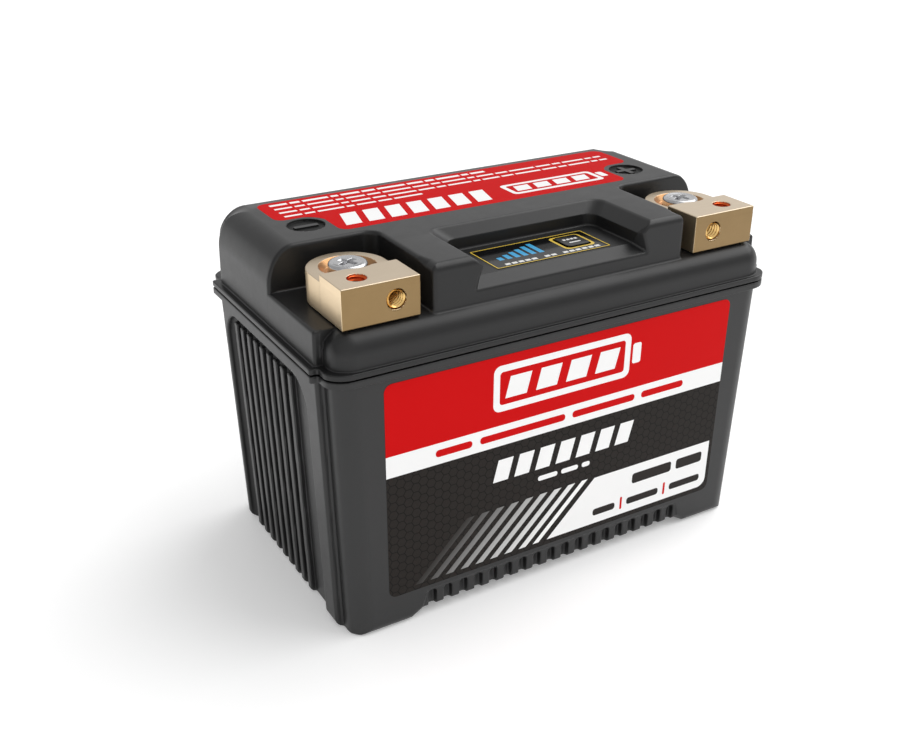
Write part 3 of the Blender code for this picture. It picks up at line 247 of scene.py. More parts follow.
def surface_net(field, xs, ys, zs):
    """Quads on the zero surface of a field, sampled on a rectilinear grid."""
    axes = (xs, ys, zs)
    d = field(xs[:, None, None], ys[None, :, None], zs[None, None, :])
    d = np.where(d == 0, 1e-6, d)
    shape = np.array(d.shape)
    cells = shape - 1
    total = int(np.prod(cells))
    count = np.zeros(total)
    place = np.zeros((3, total))
    edges = []
    for axis in range(3):
        lower = [slice(None)] * 3
        upper = [slice(None)] * 3
        lower[axis] = slice(0, -1)
        upper[axis] = slice(1, None)
        a, b = d[tuple(lower)], d[tuple(upper)]
        index = np.argwhere((a < 0) != (b < 0))
        va, vb = a[tuple(index.T)], b[tuple(index.T)]
        point = [axes[k][index[:, k]].astype(float) for k in range(3)]
        span = axes[axis][index[:, axis] + 1] - axes[axis][index[:, axis]]
        point[axis] = point[axis] + span * va / (va - vb)
        others = [k for k in range(3) if k != axis]
        corners = []
        for da, db in ((-1, -1), (0, -1), (0, 0), (-1, 0)):
            cell = index.copy()
            cell[:, others[0]] += da
            cell[:, others[1]] += db
            good = np.all((cell >= 0) & (cell < cells), axis=1)
            flat = np.ravel_multi_index(tuple(np.clip(cell, 0, cells - 1).T), tuple(cells))
            count += np.bincount(flat[good], minlength=total)
            for k in range(3):
                place[k] += np.bincount(flat[good], weights=point[k][good], minlength=total)
            corners.append(np.where(good, flat, -1))
        corners = np.array(corners).T
        keep = np.all(corners >= 0, axis=1)
        corners, rising = corners[keep], (va < 0)[keep]
        if axis == 1:
            rising = ~rising
        corners[~rising] = corners[~rising][:, ::-1]
        edges.append(corners)
    used = np.flatnonzero(count)
    number = np.full(total, -1)
    number[used] = np.arange(len(used))
    points = (place[:, used] / count[used]).T
    cell = np.array(np.unravel_index(used, tuple(cells))).T
    room = np.stack([np.diff(axes[k])[cell[:, k]] for k in range(3)], axis=1) * 0.6
    rest = points.copy()
    for _ in range(4):
        g = gradient(field, points)
        value = field(*points.T)
        points = points - g * (value / np.maximum((g * g).sum(axis=1), 0.05))[:, None]
        points = rest + np.clip(points - rest, -room, room)
    return points, number[np.concatenate(edges)]


def shade_from_field(data, field):
    """Exact normals for faces that lie on the field, flat ones for the rest."""
    count = len(data.vertices)
    points = np.empty(count * 3)
    data.vertices.foreach_get("co", points)
    points = points.reshape(-1, 3) / MM
    on_field = np.abs(field(*points.T)) < 0.03
    normals = gradient(field, points)
    normals /= np.maximum(np.linalg.norm(normals, axis=1), 1e-9)[:, None]
    corner = np.empty(len(data.loops), dtype=int)
    data.loops.foreach_get("vertex_index", corner)
    starts = np.empty(len(data.polygons), dtype=int)
    data.polygons.foreach_get("loop_start", starts)
    sizes = np.empty(len(data.polygons), dtype=int)
    data.polygons.foreach_get("loop_total", sizes)
    faces = np.empty(len(data.polygons) * 3)
    data.polygons.foreach_get("normal", faces)
    face_of = np.repeat(np.arange(len(sizes)), sizes)
    flat = faces.reshape(-1, 3)[face_of]
    chosen = normals[corner]
    agree = (chosen * flat).sum(axis=1) > 0.2
    all_on = np.minimum.reduceat(on_field[corner].astype(int), starts) > 0
    use = all_on[face_of] & agree
    chosen = np.where(use[:, None], chosen, flat)
    data.shade_smooth()
    data.normals_split_custom_set(chosen.tolist())


def make_mesh(name, points, faces):
    """A mesh in metres from points in millimetres."""
    data = bpy.data.meshes.new(name)
    data.from_pydata((np.asarray(points) * MM).tolist(), [], [list(face) for face in faces])
    return data


def net_mesh(name, field, grid, levels=(), inside=None):
    """The field's surface; its level areas become few large faces.

    inside is a bmesh of the hollow, open where it meets one of the levels.
    """
    points, quads = surface_net(field, *grid)
    level_quads = np.zeros(len(quads), dtype=bool)
    for level in levels:
        on_level = np.abs(points[:, 2] - level) < 0.002
        points[on_level, 2] = level
        level_quads |= np.all(on_level[quads], axis=1)
    quads = quads[~level_quads]
    used, quads = np.unique(quads, return_inverse=True)
    data = bpy.data.meshes.new(name)
    data.from_pydata(points[used].tolist(), [], quads.reshape(-1, 4).tolist())
    mesh = bmesh.new()
    if inside:
        mesh.from_mesh(inside)
    mesh.from_mesh(data)
    for level in levels:
        rim = []
        for edge in mesh.edges:
            if edge.is_boundary and all(abs(v.co.z - level) < 0.0005 for v in edge.verts):
                rim.append(edge)
        bmesh.ops.triangle_fill(mesh, use_beauty=False, use_dissolve=False, edges=rim,
                                normal=(0, 0, 1))
    bmesh.ops.recalc_face_normals(mesh, faces=mesh.faces)
    bmesh.ops.scale(mesh, verts=mesh.verts, vec=(MM, MM, MM))
    mesh.to_mesh(data)
    mesh.free()
    return data


def make_piece(name, data, materials, body=BODY, nodes=(), slot=None):
    """Adds a mesh to the scene; it rides on a body and replaces the named CAD nodes."""
    thing = bpy.data.objects.new(name, data)
    bpy.context.scene.collection.objects.link(thing)
    for material in materials:
        data.materials.append(material)
    if nodes:
        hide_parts(*nodes)
    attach(thing, body)
    return thing


def unite(solids):
    """One mesh, in millimetres, round several overlapping simple solids."""
    things = []
    for number, mesh in enumerate(solids):
        bmesh.ops.recalc_face_normals(mesh, faces=mesh.faces)
        data = bpy.data.meshes.new(f"hollow_{number}")
        mesh.to_mesh(data)
        mesh.free()
        thing = bpy.data.objects.new(data.name, data)
        bpy.context.scene.collection.objects.link(thing)
        things.append(thing)
    for thing in things[1:]:
        modifier = things[0].modifiers.new(thing.name, "BOOLEAN")
        modifier.operation = "UNION"
        modifier.solver = "EXACT"
        modifier.object = thing
    graph = bpy.context.evaluated_depsgraph_get()
    result = bpy.data.meshes.new_from_object(things[0].evaluated_get(graph))
    for thing in things:
        bpy.data.objects.remove(thing, do_unlink=True)
    return result


def open_at(data, levels):
    """Takes off the faces that lie wholly on one of the levels."""
    mesh = bmesh.new()
    mesh.from_mesh(data)
    lids = []
    for face in mesh.faces:
        for level in levels:
            if all(abs(v.co.z - level) < 0.0005 for v in face.verts):
                lids.append(face)
    bmesh.ops.delete(mesh, geom=lids, context="FACES")
    mesh.to_mesh(data)
    mesh.free()
    return data


def add_rings(mesh, rings):
    """A closed solid through rings of points, capped at both ends."""
    loops = [[mesh.verts.new(point) for point in ring] for ring in rings]
    count = len(rings[0])
    for lower, upper in zip(loops, loops[1:]):
        for i in range(count):
            j = (i + 1) % count
            mesh.faces.new((lower[i], lower[j], upper[j], upper[i]))
    mesh.faces.new(list(reversed(loops[0])))
    mesh.faces.new(loops[-1])


def add_box(mesh, x0, x1, y0, y1, z0, z1):
    outline = [(x0, y0), (x1, y0), (x1, y1), (x0, y1)]
    add_rings(mesh, [[(x, y, z) for x, y in outline] for z in (z0, z1)])


def add_tube(mesh, x, y, radius, z0, z1, sides=32):
    rings = []
    for z in (z0, z1):
        ring = []
        for i in range(sides):
            angle = 2 * math.pi * i / sides
            ring.append((x + radius * math.cos(angle), y + radius * math.sin(angle), z))
        rings.append(ring)
    add_rings(mesh, rings)


def solid(add, *facts):
    """A bmesh of its own with one simple solid in it."""
    mesh = bmesh.new()
    add(mesh, *facts)
    return mesh


def cavity_ring(grow, z):
    """The eight-sided outline of the hollow at one height."""
    x, y, c = 66.5 + grow, 39.2 + grow, 6.5
    outline = [(x, y - c), (x - c, y), (c - x, y), (-x, y - c),
               (-x, c - y), (c - x, -y), (x - c, -y), (x, c - y)]
    return [(px, py, z) for px, py in outline]


# ---------------------------------------------------------------- materials

def new_material(name):
    material = bpy.data.materials.new(name)
    material.use_nodes = True
    tree = material.node_tree
    return material, tree, tree.nodes["Principled BSDF"]


def node(tree, kind, **sockets):
    made = tree.nodes.new(kind)
    for key, value in sockets.items():
        made.inputs[key].default_value = value
    return made


def feed(tree, socket, value):
    """Gives a socket a number, a colour or the output of another node."""
    if isinstance(value, tuple):
        socket.default_value = (*value, 1.0)
    elif isinstance(value, (int, float)):
        socket.default_value = value
    else:
        tree.links.new(value, socket)


def arithmetic(tree, operation, a, b=0.0):
    made = tree.nodes.new("ShaderNodeMath")
    made.operation = operation
    feed(tree, made.inputs[0], a)
    feed(tree, made.inputs[1], b)
    return made.outputs[0]


def coordinates(tree):
    return tree.nodes.new("ShaderNodeTexCoord").outputs["Object"]


def noise(tree, where, scale, detail=3.0, roughness=0.6):
    made = node(tree, "ShaderNodeTexNoise", Scale=scale, Detail=detail, Roughness=roughness)
    tree.links.new(where, made.inputs["Vector"])
    return made.outputs["Fac"]


def blend(tree, factor, a, b):
    made = tree.nodes.new("ShaderNodeMix")
    made.data_type = "RGBA"
    for index, value in ((0, factor), (6, a), (7, b)):
        feed(tree, made.inputs[index], value)
    return made.outputs[2]


def remap(tree, value, from_min, from_max, to_min=0.0, to_max=1.0, smooth=False):
    made = tree.nodes.new("ShaderNodeMapRange")
    if smooth:
        made.interpolation_type = "SMOOTHSTEP"
    limits = (value, from_min, from_max, to_min, to_max)
    for socket, limit in zip(made.inputs, limits):
        feed(tree, socket, limit)
    return made.outputs[0]


def spread(tree, value, low, high):
    return remap(tree, value, 0.0, 1.0, low, high)


def bump(tree, shader, height, strength, distance):
    made = node(tree, "ShaderNodeBump", Strength=strength, Distance=distance)
    tree.links.new(height, made.inputs["Height"])
    tree.links.new(made.outputs[0], shader.inputs["Normal"])


def finish(name, dark, light, roughness, metallic=0.0, scale=60.0, grain=3500.0,
           grain_depth=0.00002, grain_strength=0.25, specular=0.5):
    """A finish with uneven colour, uneven gloss and a fine surface grain."""
    material, tree, shader = new_material(name)
    where = coordinates(tree)
    cloud = noise(tree, where, scale)
    tree.links.new(blend(tree, cloud, dark, light), shader.inputs["Base Color"])
    tree.links.new(spread(tree, noise(tree, where, scale * 4), roughness - 0.05, roughness + 0.05),
                   shader.inputs["Roughness"])
    shader.inputs["Metallic"].default_value = metallic
    shader.inputs["Specular IOR Level"].default_value = specular
    bump(tree, shader, noise(tree, where, grain, 2.0), grain_strength, grain_depth)
    return material


def print_finish(name, color, specular=0.12, roughness=0.32):
    """Ink on foil: even colour, faint gloss changes and a trace of orange peel."""
    material, tree, shader = new_material(name)
    where = coordinates(tree)
    shader.inputs["Specular IOR Level"].default_value = specular
    shade = tuple(channel * 0.95 for channel in color)
    tree.links.new(blend(tree, noise(tree, where, 45.0), shade, color), shader.inputs["Base Color"])
    tree.links.new(spread(tree, noise(tree, where, 300.0), roughness - 0.04, roughness + 0.04),
                   shader.inputs["Roughness"])
    bump(tree, shader, noise(tree, where, 900.0, 1.0), 0.05, 0.00002)
    return material


def hexagon_finish(name):
    """Dark field with a fine honeycomb."""
    across_flats = 2.7 * MM
    material, tree, shader = new_material(name)
    where = coordinates(tree)
    split = tree.nodes.new("ShaderNodeSeparateXYZ")
    tree.links.new(where, split.inputs[0])
    along = arithmetic(tree, "MULTIPLY", split.outputs["Z"], 1 / across_flats)
    across = arithmetic(tree, "MULTIPLY", split.outputs["X"], 1 / across_flats)
    root = math.sqrt(3)
    distances = []
    for shift in (0.0, 0.5):
        u = arithmetic(tree, "FLOORED_MODULO", arithmetic(tree, "ADD", along, shift), 1.0)
        v = arithmetic(tree, "FLOORED_MODULO", arithmetic(tree, "ADD", across, shift * root), root)
        u = arithmetic(tree, "ABSOLUTE", arithmetic(tree, "SUBTRACT", u, 0.5))
        v = arithmetic(tree, "ABSOLUTE", arithmetic(tree, "SUBTRACT", v, root / 2))
        slope = arithmetic(tree, "ADD", arithmetic(tree, "MULTIPLY", u, 0.5),
                           arithmetic(tree, "MULTIPLY", v, root / 2))
        distances.append(arithmetic(tree, "MAXIMUM", u, slope))
    nearest = arithmetic(tree, "MINIMUM", distances[0], distances[1])
    line = remap(tree, nearest, 0.44, 0.475, smooth=True)
    fleck = noise(tree, where, 1800.0, 2.0)
    cell = blend(tree, fleck, (0.012, 0.0096, 0.0080), (0.021, 0.017, 0.0145))
    tree.links.new(blend(tree, line, cell, (0.0020, 0.0015, 0.0012)),
                   shader.inputs["Base Color"])
    shader.inputs["Specular IOR Level"].default_value = 0.12
    tree.links.new(spread(tree, fleck, 0.34, 0.46), shader.inputs["Roughness"])
    return material


def fading_finish(name):
    """Stripes that fade from light grey at the right to the dark field at the left."""
    material, tree, shader = new_material(name)
    where = coordinates(tree)
    split = tree.nodes.new("ShaderNodeSeparateXYZ")
    tree.links.new(where, split.inputs[0])
    lean = arithmetic(tree, "SUBTRACT", split.outputs["X"], split.outputs["Z"])
    ramp = remap(tree, lean, -63.5 * MM, -21.5 * MM)
    faded = arithmetic(tree, "POWER", ramp, 1.35)
    tree.links.new(blend(tree, faded, (0.022, 0.019, 0.017), (0.92, 0.92, 0.91)),
                   shader.inputs["Base Color"])
    shader.inputs["Specular IOR Level"].default_value = 0.12
    shader.inputs["Roughness"].default_value = 0.36
    return material


def brass_finish(name, dark, light, roughness, coat=0.0):
    """Milled brass: fine tool lines and a slightly tarnished colour."""
    material, tree, shader = new_material(name)
    where = coordinates(tree)
    stretch = node(tree, "ShaderNodeMapping")
    stretch.inputs["Scale"].default_value = (1.0, 12.0, 1.0)
    tree.links.new(where, stretch.inputs["Vector"])
    lines = noise(tree, stretch.outputs[0], 900.0, 2.0)
    cloud = noise(tree, where, 120.0)
    tree.links.new(blend(tree, cloud, dark, light), shader.inputs["Base Color"])
    tree.links.new(spread(tree, lines, roughness - 0.06, roughness + 0.08),
                   shader.inputs["Roughness"])
    shader.inputs["Metallic"].default_value = 1.0
    shader.inputs["Coat Weight"].default_value = coat
    shader.inputs["Coat Roughness"].default_value = 0.3
    bump(tree, shader, lines, 0.12, 0.00001)
    return material


def gloss_finish(name, color, roughness):
    """Clear film over print: a glossy coat with a faint waviness."""
    material, tree, shader = new_material(name)
    where = coordinates(tree)
    shade = tuple(channel * 0.9 for channel in color)
    tree.links.new(blend(tree, noise(tree, where, 200.0), shade, color),
                   shader.inputs["Base Color"])
    shader.inputs["Roughness"].default_value = roughness
    shader.inputs["Specular IOR Level"].default_value = 0.1
    shader.inputs["Coat Weight"].default_value = 0.3
    shader.inputs["Coat Roughness"].default_value = 0.04
    bump(tree, shader, noise(tree, where, 60.0, 0.0), 0.02, 0.00005)
    return material


case_black = finish("case_black_abs", (0.0085, 0.0085, 0.0088), (0.0125, 0.0125, 0.0128), 0.42)
lid_black = finish("lid_black_abs", (0.0085, 0.0085, 0.0088), (0.0125, 0.0125, 0.0128), 0.38,
                   specular=0.38)
# The sunken polarity discs get a darker black than the lid: painted shade in the recess.
disc_shade_black = finish("disc_painted_shade_abs", (0.004, 0.004, 0.004), (0.006, 0.006, 0.006), 0.5,
                    specular=0.15)
# One brass in three colours chosen by face direction: the pale top and bright sides are painted
# light, the dark ochre front is painted shade and reflection.
brass_top_painted_light = brass_finish("terminal_brass_top_painted_light", (0.57, 0.455, 0.315), (0.65, 0.53, 0.38),
                         0.38, 0.6)
brass_side_painted_light = brass_finish("terminal_brass_side_painted_light", (0.84, 0.66, 0.43), (0.94, 0.75, 0.50), 0.40, 0.3)
brass_front_painted_shade = brass_finish("terminal_brass_front_painted_shade", (0.235, 0.150, 0.058), (0.290, 0.188, 0.078),
                           0.36, 0.5)
# The counterbore and the two tapped holes get deeper orange, red and gold brass: painted
# reflections of brass deep in the hollows.
bore_painted_reflection = brass_finish("terminal_counterbore_painted_reflection", (0.42, 0.225, 0.10), (0.52, 0.29, 0.14), 0.3)
top_hole_painted_reflection = brass_finish("terminal_top_hole_painted_reflection", (0.62, 0.09, 0.02), (0.72, 0.13, 0.035), 0.4)
front_hole_painted_reflection = brass_finish("terminal_front_hole_painted_reflection", (0.72, 0.46, 0.16), (0.84, 0.57, 0.23), 0.25)
steel = finish("screw_steel_polished", (0.46, 0.46, 0.47), (0.58, 0.58, 0.59), 0.26, 1.0,
               grain_strength=0.03)
red = print_finish("label_red_ink", (0.60, 0.0025, 0.0035), 0.06)
white = print_finish("label_white_ink", (0.93, 0.93, 0.925))
ink_dark = print_finish("label_dark_ink", (0.020, 0.016, 0.014))
top_red = print_finish("top_label_red_ink", (0.56, 0.004, 0.005), 0.008)
top_white = print_finish("top_label_white_ink", (0.88, 0.88, 0.875), 0.008)
honeycomb = hexagon_finish("label_honeycomb_ink")
fading = fading_finish("label_fading_stripes")
film_black = gloss_finish("display_film_black", (0.002, 0.002, 0.0025), 0.12)
film_yellow = gloss_finish("display_film_yellow", (0.74, 0.52, 0.07), 0.3)
film_blue = gloss_finish("display_film_blue", (0.045, 0.36, 0.66), 0.3)
film_white = gloss_finish("display_film_white", (0.80, 0.80, 0.78), 0.3)


# ---------------------------------------------------------------- case

def make_case():
    xs = steps((-75.6, -66.0, 0.4), (-66.0, -50.0, 0.8), (-50.0, 50.0, 0.5),
               (50.0, 66.0, 0.8), (66.0, 75.6, 0.4))
    ys = steps((-44.0, -36.0, 0.38), (-36.0, 36.0, 0.44), (36.0, 44.0, 0.38))
    zs = steps((-0.5, 4.0, 0.45), (4.0, 10.5, 0.65), (10.5, 64.5, 6.0), (64.5, 76.5, 0.6),
               (76.5, 78.5, 1.0), (78.5, 81.5, 0.24))
    hollow = solid(add_rings, [cavity_ring(0, 4.0), cavity_ring(0, 77.6),
                               cavity_ring(1.4, 77.6), cavity_ring(1.4, CASE_TOP)])
    inside = open_at(unite([hollow]), (CASE_TOP,))
    levels = (0.0, FOOT_HEIGHT, CASE_TOP)
    data = net_mesh("case_shell", case_field, (xs, ys, zs), levels, inside)
    shade_from_field(data, case_field)
    make_piece("case_shell", data, [case_black], nodes=["case"], slot="case_black")


# ---------------------------------------------------------------- lid

def make_lid():
    xs = steps((-75.6, -70.0, 0.4), (-70.0, -50.0, 0.55), (-50.0, -30.0, 0.55),
               (-30.0, -24.5, 0.35), (-24.5, 24.5, 0.7), (24.5, 30.0, 0.35),
               (30.0, 50.0, 0.55), (50.0, 70.0, 0.55), (70.0, 75.6, 0.4))
    ys = steps((-44.0, -33.0, 0.36), (-33.0, -18.0, 0.6), (-18.0, -5.5, 0.4),
               (-5.5, 35.0, 0.6), (35.0, 44.0, 0.4))
    zs = steps((81.2, 84.2, 0.22), (84.2, 91.6, 0.5), (91.6, 93.2, 0.3), (93.2, 97.6, 0.55),
               (97.6, 99.2, 0.3), (99.2, 101.2, 0.5), (101.2, 105.5, 0.3))

    # The hollow: under the whole lid, under the high part and the front, the windows of
    # the button and the display, and the holes of the button's stem and the terminal posts.
    roof = [(66.0, 86.0), (66.0, 94.0), (64.2, 101.0), (59.2, 102.6)]
    roof += [(-x, z) for x, z in reversed(roof)]
    hollow = unite([solid(add_rings, [cavity_ring(0, LID_BOTTOM), cavity_ring(0, 90.1)]),
                    solid(add_rings, [[(x, y, z) for x, z in roof] for y in (-4.2, 32.7)]),
                    solid(add_box, -38.7, 38.7, -35.9, -2.6, 86.0, 93.8),
                    solid(add_box, 6.7, 15.5, -29.7, -20.9, 97.2, RECESS_FLOOR),
                    solid(add_box, -15.6, 1.2, -31.0, -21.0, 93.0, RECESS_FLOOR),
                    solid(add_tube, BUTTON_X, BUTTON_Y, 2.3, 93.0, 97.5),
                    solid(add_tube, -SCREW_X, SCREW_Y, 4.7, 88.0, SHELF_TOP),
                    solid(add_tube, SCREW_X, SCREW_Y, 4.7, 88.0, SHELF_TOP)])
    inside = open_at(hollow, (LID_BOTTOM, SHELF_TOP, RECESS_FLOOR))
    levels = (LID_BOTTOM, SHELF_TOP, RECESS_FLOOR, LID_TOP)
    data = net_mesh("lid_moulding", lid_field, (xs, ys, zs), levels, inside)
    shade_from_field(data, lid_field)
    make_piece("lid_moulding", data, [lid_black, disc_shade_black], nodes=["lid"], slot="lid_black")
    # The floor and wall of each sunken disc take the darker black: painted shade.
    for face in data.polygons:
        x, y, z = face.center / MM
        if math.hypot(abs(x) - MARK_X, y - MARK_Y) < 5.45 and 104.0 < z < 104.99:
            face.material_index = 1

    # The raised minus and plus in the sunken discs.
    for end, side in (("negative", -1), ("positive", 1)):
        centre = side * MARK_X
        mark = Print(lambda u, v, height: (centre + u, MARK_Y + v, 104.34 + height), 0.42)
        if side < 0:
            outline = rounded(-3.6, 3.6, -0.85, 0.85, 0.3)
        else:
            outline = [(3.6, 0.85), (0.85, 0.85), (0.85, 3.6), (-0.85, 3.6), (-0.85, 0.85),
                       (-3.6, 0.85), (-3.6, -0.85), (-0.85, -0.85), (-0.85, -3.6),
                       (0.85, -3.6), (0.85, -0.85), (3.6, -0.85)]
        mark.add(outline, 0, 0)
        mark.piece("polarity_mark_" + end, [lid_black], slot="lid_black")


# ---------------------------------------------------------------- terminals

def make_terminals():
    side_light_slot, top_light_slot, front_shade_slot, bore_reflection_slot, top_hole_reflection_slot, front_hole_reflection_slot = range(6)
    for side, end in ((-1, "negative"), (1, "positive")):
        centre = side * BLOCK_X
        xs = steps((centre - 11.4, centre + 11.4, 0.3))
        ys = steps((-39.1, -8.1, 0.3))
        zs = steps((92.4, 99.4, 0.5), (99.4, 104.1, 0.24))
        data = net_mesh("terminal_block_" + end, terminal_field, (xs, ys, zs), BLOCK_LEVELS)
        shade_from_field(data, terminal_field)
        make_piece("terminal_block_" + end, data,
                   [brass_side_painted_light, brass_top_painted_light, brass_front_painted_shade, bore_painted_reflection, top_hole_painted_reflection, front_hole_painted_reflection],
                   nodes=["terminal_" + end], slot="terminal_brass")
        for face in data.polygons:
            x, y, z = face.center / MM
            ax = abs(x)
            in_bore = math.hypot(ax - SCREW_X, y - SCREW_Y) < 7.75
            # Each face takes the top, side or front brass by its direction: painted light and
            # painted shade.
            look = side_light_slot
            if face.normal.z > 0.6:
                look = top_light_slot
            elif face.normal.y < -0.6 and y < -38.0:
                look = front_shade_slot
            # Faces in the counterbore and the holes take brass tinted with painted reflections.
            if in_bore and 99.5 < z < 101.75:
                look = bore_reflection_slot
            elif in_bore and y > -25.95 and z < 103.6:
                look = top_light_slot if z > 101.7 else bore_reflection_slot
            elif -26.2 < y < -25.5 and z > 101.9 and face.normal.y > 0.5:
                look = side_light_slot
            if math.hypot(ax - TOP_HOLE_X, y - TOP_HOLE_Y) < 2.65 and z < 103.6:
                look = top_hole_reflection_slot
            if math.hypot(ax - FRONT_HOLE_X, z - FRONT_HOLE_Z) < 2.85 and -38.4 < y < -29.0:
                look = front_hole_reflection_slot
            face.material_index = look

        # Threads of the two tapped holes, in the holes' colours of painted reflection.
        make_thread("terminal_front_thread_" + end, (side * FRONT_HOLE_X, -38.4, FRONT_HOLE_Z),
                    "y", 9.0, front_hole_painted_reflection)
        make_thread("terminal_top_thread_" + end, (side * TOP_HOLE_X, TOP_HOLE_Y, 103.4),
                    "z", -9.0, top_hole_painted_reflection)

        xs = steps((-5.6, 5.6, 0.14))
        zs = steps((84.2, 99.8, 2.0), (99.8, 104.2, 0.11))
        data = net_mesh("screw_" + end, screw_field, (xs, xs, zs))
        shade_from_field(data, screw_field)
        for vertex in data.vertices:
            vertex.co.x += side * SCREW_X * MM
            vertex.co.y += SCREW_Y * MM
        make_piece("terminal_pan_screw_" + end, data, [steel],
                   nodes=["terminal_screw_" + end], slot="screw_steel")


def make_thread(name, mouth, axis, length, material):
    """A sleeve whose inside carries a helical thread of 1 mm pitch."""
    around, along = 48, 108
    points, faces = [], []
    for j in range(along + 1):
        depth = length * j / along
        for i in range(around):
            angle = 2 * math.pi * i / around
            phase = (abs(depth) + i / around) % 1.0
            radius = 2.6 - 0.55 * (1 - abs(2 * phase - 1))
            u, v = radius * math.cos(angle), radius * math.sin(angle)
            if axis == "y":
                points.append((mouth[0] + u, mouth[1] + depth, mouth[2] + v))
            else:
                points.append((mouth[0] + u, mouth[1] + v, mouth[2] + depth))
    for j in range(along):
        for i in range(around):
            k = (i + 1) % around
            a, b = j * around + i, j * around + k
            faces.append((a, b, b + around, a + around))
    data = make_mesh(name, points, faces)
    data.shade_smooth()
    make_piece(name, data, [material], slot="terminal_brass")


# ---------------------------------------------------------------- labels

def rounded(x0, x1, y0, y1, r, count=6):
    """A rectangle's outline with rounded corners."""
    corners = [(x1 - r, y1 - r, 0), (x0 + r, y1 - r, 90),
               (x0 + r, y0 + r, 180), (x1 - r, y0 + r, 270)]
    outline = []
    for cx, cy, start in corners:
        for step in range(count + 1):
            angle = math.radians(start + 90 * step / count)
            outline.append((cx + r * math.cos(angle), cy + r * math.sin(angle)))
    return outline


def slanted(x0, x1, y0, y1, lean=0.0):
    """A rectangle's outline, its top pushed sideways by lean times its height."""
    shift = lean * (y1 - y0)
    return [(x0, y0), (x1, y0), (x1 + shift, y1), (x0 + shift, y1)]


class Print:
    """Flat printed shapes, each a thin plate. A higher level lies in front of a lower one."""

    def __init__(self, place, step):
        self.place, self.step = place, step
        self.points, self.faces, self.slots = [], [], []

    def add(self, outline, level, slot, holes=()):
        front, back = (level + 1) * self.step, level * self.step
        if holes:
            self.ring(outline, holes, front, back, slot)
            return
        count = len(outline)
        base = len(self.points)
        for height in (front, back):
            self.points += [self.place(u, v, height) for u, v in outline]
        self.faces.append(tuple(base + i for i in range(count)))
        self.faces.append(tuple(base + count + i for i in reversed(range(count))))
        for i in range(count):
            j = (i + 1) % count
            self.faces.append((base + j, base + i, base + count + i, base + count + j))
        self.slots += [slot] * (count + 2)

    def ring(self, outer, inner, front, back, slot):
        count = len(outer)
        base = len(self.points)
        for height in (front, back):
            for outline in (outer, inner):
                self.points += [self.place(u, v, height) for u, v in outline]
        a, b, c, d = base, base + count, base + 2 * count, base + 3 * count
        for i in range(count):
            j = (i + 1) % count
            self.faces.append((a + i, a + j, b + j, b + i))
            self.faces.append((a + j, a + i, c + i, c + j))
            self.faces.append((b + i, b + j, d + j, d + i))
            self.faces.append((c + j, c + i, d + i, d + j))
        self.slots += [slot] * (4 * count)

    def piece(self, name, materials, **options):
        data = make_mesh(name, self.points, self.faces)
        made = make_piece(name, data, materials, **options)
        for face, slot in zip(data.polygons, self.slots):
            face.material_index = slot
        return made


def bars(sheet, x0, x1, y0, y1, widths, level, slot, space):
    """A line of plain bars in place of lettering, repeated to fill the width."""
    x, index = x0, 0
    while x < x1 - 0.5:
        width = min(widths[index % len(widths)], x1 - x)
        if width > 1.5:
            sheet.add(slanted(x, x + width, y0, y1), level, slot)
        x += width + space
        index += 1


INK = 0.012      # thickness of one printed layer


def front_place(u, v, height):
    """A point on the front foil, which follows the draft of the wall."""
    wall = -(HALF_DEPTH - OUT_Y) + DEPTH_DRAFT * (WALL_TOP - v) / WALL_TOP
    return (u, wall - 0.05 - height, v)


